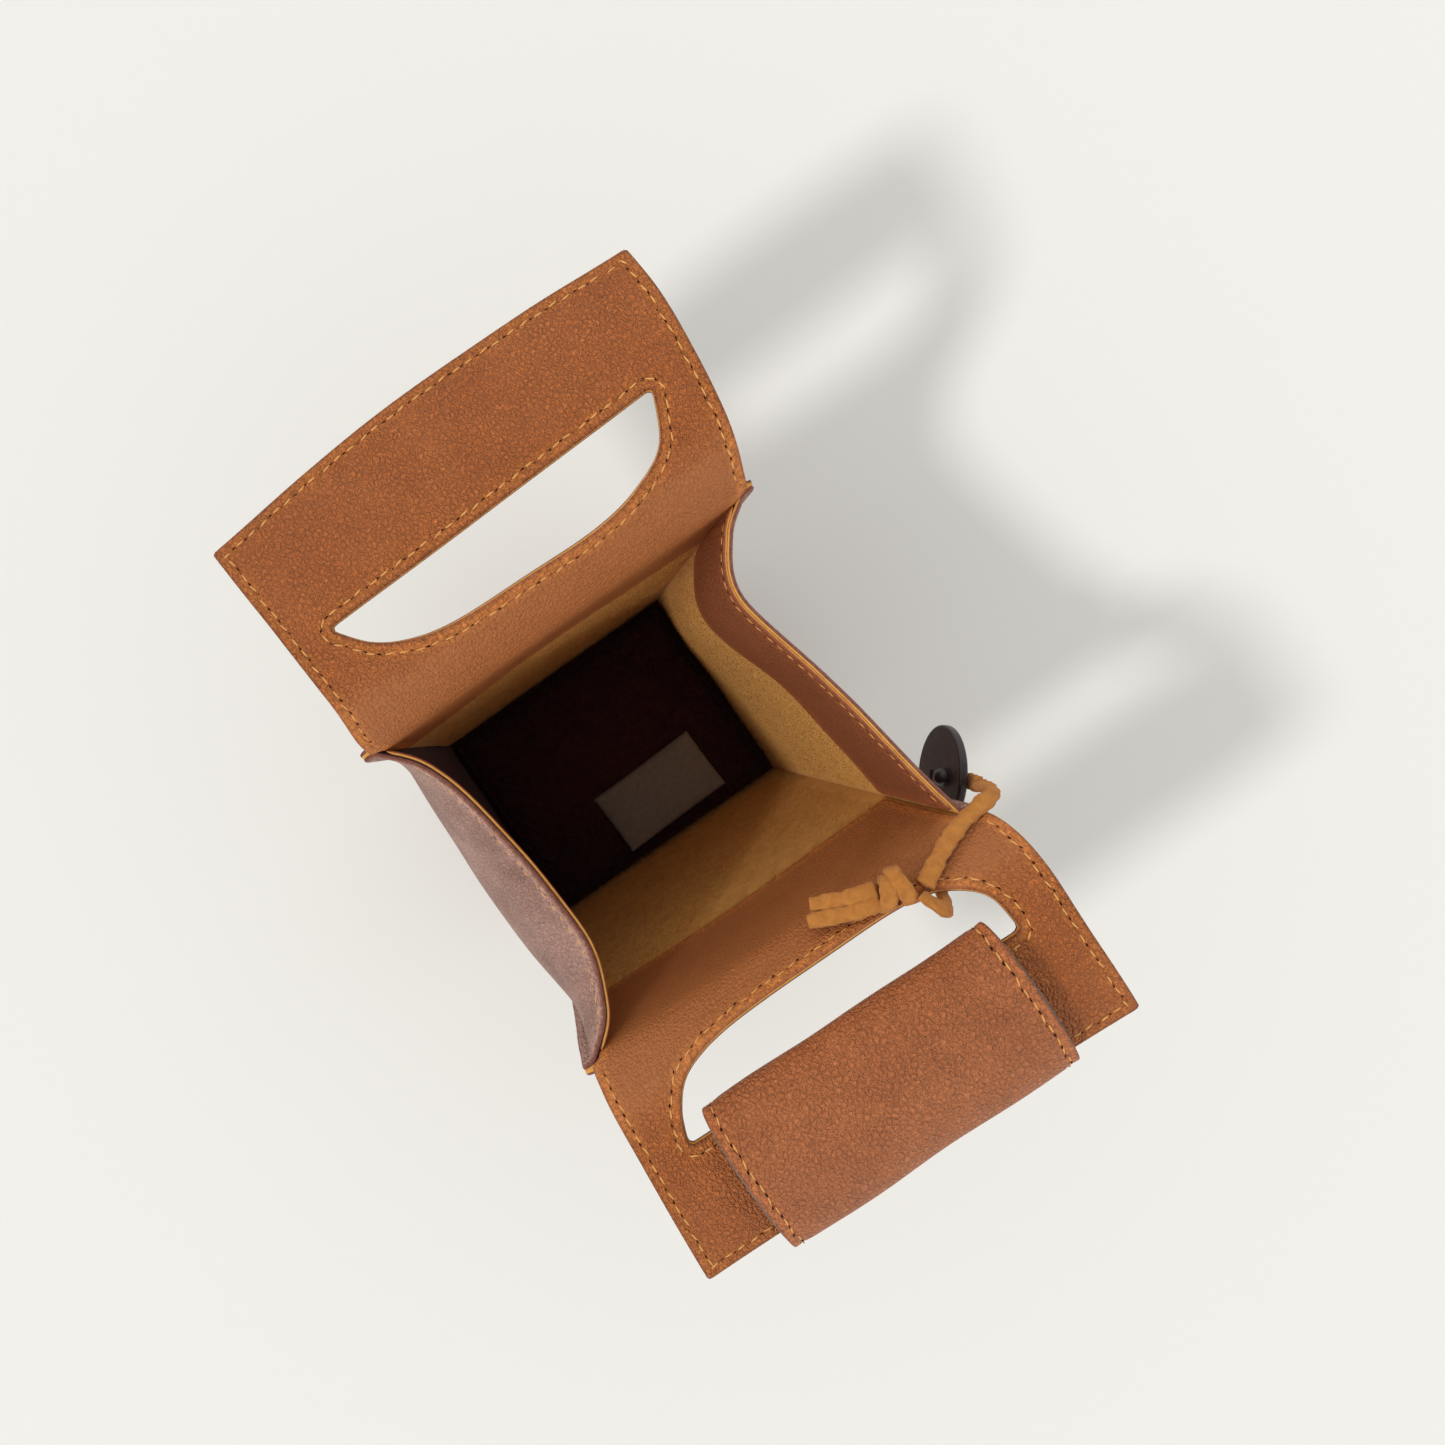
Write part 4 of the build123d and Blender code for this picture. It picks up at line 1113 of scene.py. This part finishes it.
def hide(name, groups, light, deep, smooth=None, cells=84.0, pebble=1.0, rough=0.5, on_piece=True,
         smooth_below=None, seams=True):
    """Dyed leather: pebbled, or smooth with fine creases below a run from the hinge, lighter at its seams.
    The gusset's colours hold a painted glare, and the facing's smooth tone is partly painted shade.
    """
    material, tree, shader = blank(name, rough, specular=0.42)
    where = pattern_place(tree, on_piece)
    grain = tree.nodes.new("ShaderNodeGroup")
    grain.node_tree = groups["grain"]
    tree.links.new(where, grain.inputs["Vector"])
    grain.inputs["Cells"].default_value = cells
    creases = tree.nodes.new("ShaderNodeGroup")
    creases.node_tree = groups["creases"]
    tree.links.new(where, creases.inputs["Vector"])
    patches = ramp(tree, noise(tree, where, 5.5, 4.0), 0.3, 0.7)
    colour = mixed(tree, patches, tone(*light), tone(*deep))
    fleck = ramp(tree, noise(tree, where, 120.0, 2.0), 0.3, 0.75, 0.86, 1.1)
    if smooth_below is None:
        rugged = 1.0
        height = math_node(tree, "MULTIPLY", grain.outputs["Height"], pebble)
        valley = math_node(tree, "MULTIPLY", grain.outputs["Valley"], pebble)
    else:
        run = put(tree, "ShaderNodeSeparateXYZ", {0: where}).outputs["Y"]
        uneven = math_node(tree, "ADD", run, math_node(tree, "MULTIPLY", noise(tree, where, 6.0), 0.06))
        rugged = ramp(tree, uneven, smooth_below - 0.03, smooth_below + 0.06)
        height = math_node(tree, "ADD", math_node(tree, "MULTIPLY", grain.outputs["Height"], rugged),
                           math_node(tree, "MULTIPLY", creases.outputs["Height"],
                                     ramp(tree, rugged, 0, 1, 0.55, 0.1)))
        height = math_node(tree, "ADD", height, math_node(tree, "MULTIPLY", grain.outputs["Height"], 0.3))
        valley = math_node(tree, "MULTIPLY", grain.outputs["Valley"], rugged)
        # Below the run the smooth tone takes over; on the facing it is darker partly as painted shade.
        colour = mixed(tree, rugged, tone(*smooth), colour)
    colour = mixed(tree, math_node(tree, "MULTIPLY", valley, 0.26), colour, tone(*[c * 0.62 for c in deep]))
    if seams:
        rough_patch = ramp(tree, noise(tree, where, 60.0, 4.0), 0.35, 0.65)
        gold = ramp(tree, value_of(tree, "edge"), 1.6, 4.2, 0.55, 0.0)
        colour = mixed(tree, math_node(tree, "MULTIPLY", gold, rough_patch), colour,
                       tone(*[min(255, c * 1.22) for c in light]))
        groove = ramp(tree, value_of(tree, "seam"), 0.8, 1.0, 0.0, 0.7)
        broken = ramp(tree, noise(tree, where, 90.0, 2.0), 0.4, 0.6)
        colour = mixed(tree, math_node(tree, "MULTIPLY", groove, broken), colour, tone(84, 44, 22))
        rim = ramp(tree, value_of(tree, "edge"), 0.0, 0.9, 0.7, 0.0)
        colour = mixed(tree, rim, colour, tone(138, 78, 52))
    shade = put(tree, "ShaderNodeVectorMath", {0: colour, "Scale": fleck}, operation="SCALE").outputs[0]
    tree.links.new(shade, shader.inputs["Base Color"])
    tree.links.new(ramp(tree, height, 0.2, 1.4, rough + 0.14, rough - 0.06), shader.inputs["Roughness"])
    bump(tree, shader, height, 1.0, 0.0009)
    return material


def napped(name, light, deep, sheen=0.1, on_piece=True, scale=1.0):
    """Suede, lace or plush: mottled, matt and fuzzy."""
    material, tree, shader = blank(name, 0.95, specular=0.1, sheen=sheen)
    where = pattern_place(tree, on_piece)
    mottle = ramp(tree, noise(tree, where, 26.0 * scale, 5.0, 0.65, 0.8), 0.3, 0.7)
    fuzz = noise(tree, where, 240.0 * scale, 3.0, 0.7)
    colour = mixed(tree, math_node(tree, "MULTIPLY", math_node(tree, "ADD", mottle, fuzz), 0.5),
                   tone(*deep), tone(*light))
    tree.links.new(colour, shader.inputs["Base Color"])
    bump(tree, shader, math_node(tree, "ADD", math_node(tree, "MULTIPLY", mottle, 0.5), fuzz), 0.7, 0.0005)
    return material


def plain_finish(name, colour, rough, specular=0.5, metal=0.0, vary=0.12, scale=30.0, lift=0.00005):
    """A hard or woven finish with slight cloudiness and a fine tooth."""
    material, tree, shader = blank(name, rough, specular=specular)
    shader.inputs["Metallic"].default_value = metal
    where = pattern_place(tree, False)
    cloud = noise(tree, where, scale, 4.0)
    darker = tone(*[c * (1 - 2 * vary) for c in colour])
    tree.links.new(mixed(tree, cloud, darker, tone(*colour)), shader.inputs["Base Color"])
    tree.links.new(ramp(tree, cloud, 0.3, 0.7, rough - 0.06, rough + 0.08), shader.inputs["Roughness"])
    bump(tree, shader, noise(tree, where, scale * 9), 0.4, lift)
    return material


def cut_edge(name, light, deep):
    """Cut leather edge: fibrous, streaked along the edge."""
    material, tree, shader = blank(name, 0.75, specular=0.3)
    where = pattern_place(tree, False)
    streak = noise(tree, where, 70.0, 5.0, 0.7)
    tree.links.new(mixed(tree, ramp(tree, streak, 0.3, 0.7), tone(*deep), tone(*light)),
                   shader.inputs["Base Color"])
    bump(tree, shader, streak, 0.8, 0.0004)
    return material


def make_finishes():
    groups = {"grain": grain_group(), "creases": crease_group()}
    return {
        "outer": hide("outer hide", groups, (176, 106, 70), (138, 76, 50), pebble=0.9),
        # The gusset's pale, pinkish tone is lifted past the other hide's as a painted glare, standing in for
        # the sheen its grazing outer faces catch.
        "gusset": hide("gusset hide with painted glare", groups, (196, 150, 134), (150, 106, 92), pebble=0.8, cells=70,
                       rough=0.4),
        # The facing's smooth zone by the hinge is a real smooth, creased finish; its darker tone is partly
        # painted shade of the steep root by the mouth.
        "facing": hide("facing hide with painted root shade", groups, (226, 128, 58), (212, 114, 46), smooth=(178, 106, 54),
                       smooth_below=0.2),
        "inner_facing": hide("inner facing", groups, (160, 88, 48), (130, 68, 34), smooth=(144, 80, 44),
                             smooth_below=9.0),
        "grip": hide("grip hide", groups, (208, 122, 68), (194, 110, 58), pebble=0.85, cells=72, rough=0.42),
        "base": hide("base hide", groups, (150, 92, 74), (116, 64, 50), on_piece=False, seams=False),
        "under_grip": hide("under grip hide", groups, (176, 98, 54), (150, 78, 40), on_piece=False,
                           seams=False, pebble=0.5),
        "suede": napped("suede side", (246, 188, 96), (196, 132, 56)),
        "nap": napped("suede nap", (244, 186, 96), (190, 124, 50), on_piece=False, scale=0.5),
        "lace": napped("suede lace", (222, 152, 76), (168, 100, 44), scale=2.0),
        "plush": napped("black plush", (92, 54, 56), (52, 28, 32), sheen=0.08, on_piece=False),
        "raw_edge": cut_edge("outer leather edge", (150, 96, 84), (104, 58, 50)),
        "facing_edge": cut_edge("facing leather edge", (214, 136, 88), (176, 100, 58)),
        "thread": plain_finish("waxed thread", (244, 178, 98), 0.5, vary=0.1),
        # Dark dots set between the stitches, as painted shade of the holes the needle left.
        "needle_hole_shade": plain_finish("needle hole painted shade", (46, 22, 12), 0.9, specular=0.1),
        "paper": plain_finish("sachet paper", (150, 144, 138), 0.8, specular=0.2, scale=60.0),
        "disc": plain_finish("dark disc", (40, 30, 30), 0.32, vary=0.15),
        "board": plain_finish("fibre board", (120, 96, 70), 0.9, specular=0.2),
        "felt": plain_finish("felt padding", (150, 146, 138), 0.95, specular=0.1, scale=60.0, lift=0.0003),
        "brass": plain_finish("aged brass", (176, 140, 84), 0.34, metal=1.0),
    }


# ------------------------------------------------------------------ the whole case
def paint_nodes(stuff):
    """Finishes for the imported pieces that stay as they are."""
    for node, finish in (("base_panel", "base"), ("base_board", "board"), ("grip_closure", "under_grip"),
                         ("grip_lining", "felt"),
                         ("grip_padding", "felt"), ("snap_caps", "brass"), ("snap_sockets", "brass"),
                         ("snap_studs", "brass"),
                         ("toggle_disc", "disc"), ("toggle_knot", "disc")):
        shown = frame["nodes"][node]
        shown.data.materials.clear()
        shown.data.materials.append(stuff[finish])


def sky():
    """Soft surrounding light, dimmer overhead than from the sides."""
    world = bpy.data.worlds.new("studio")
    bpy.context.scene.world = world
    world.use_nodes = True
    tree = world.node_tree
    direction = put(tree, "ShaderNodeTexCoord").outputs["Generated"]
    height = put(tree, "ShaderNodeSeparateXYZ", {0: direction}).outputs["Z"]
    strength = ramp(tree, height, 0.62, 0.92, 1.07, 0.37)
    background = tree.nodes["Background"]
    background.inputs["Color"].default_value = (1.0, 0.995, 0.975, 1)
    tree.links.new(strength, background.inputs["Strength"])


def key_light():
    """Small lamp, level with a table lamp's shade; its light reaches every part of the floor alike."""
    key = bpy.data.lights.new("key", "POINT")
    key.shadow_soft_size = 0.036
    key.energy = 1.0
    key.use_nodes = True
    tree = key.node_tree
    falloff = put(tree, "ShaderNodeLightFalloff", {"Strength": KEY_POWER})
    reach = put(tree, "ShaderNodeLightPath").outputs["Ray Length"]
    level = math_node(tree, "MULTIPLY", falloff.outputs["Constant"], reach)
    emission = tree.nodes["Emission"]
    emission.inputs["Color"].default_value = (1.0, 0.995, 0.975, 1)
    tree.links.new(level, emission.inputs["Strength"])
    holder = bpy.data.objects.new("key", key)
    holder.location = (-0.345, 0.004, 0.504)
    bpy.context.scene.collection.objects.link(holder)



def light_and_camera():
    scene = bpy.context.scene
    scene.view_settings.view_transform = "Standard"
    sky()
    key_light()
    floor = new_piece("floor", [(-2000, -2000, 0), (2000, -2000, 0), (2000, 2000, 0), (-2000, 2000, 0)],
                      [(0, 1, 2, 3)])
    floor.data.materials.append(plain_finish("pale floor", (232, 231, 227), 0.9, specular=0.1, vary=0.0))
    lens = bpy.data.cameras.new("camera")
    lens.lens, lens.sensor_width = 19.435, 36.0
    lens.shift_x, lens.shift_y = 0.0796, 0.0069
    lens.clip_start = 0.01
    camera = bpy.data.objects.new("camera", lens)
    look = Vector((-0.0382, -0.0306, -0.9988)).normalized()
    up = Vector((0.5719, 0.819, -0.047))
    right = look.cross(up).normalized()
    up = right.cross(look)
    turn = Matrix((right, up, -look)).transposed().to_4x4()
    camera.matrix_world = Matrix.Translation(Vector((16.28, 18.41, 316.81)) * MM) @ turn
    scene.collection.objects.link(camera)
    scene.camera = camera


light_and_camera()
finishes = make_finishes()
growers = {"stitch": stitch_tree(), "fibre": fibre_tree()}
make_lace(finishes)
for side in (1, -1):
    make_face(side, finishes)
    make_flap_stitches(side, growers, finishes)
for hand in (1, -1):
    make_gusset(hand, finishes)
make_case_stitches(growers, finishes)
make_grip(growers, finishes)
make_pad(growers, finishes)
make_nap(growers, finishes)
make_sachet(finishes)
paint_nodes(finishes)
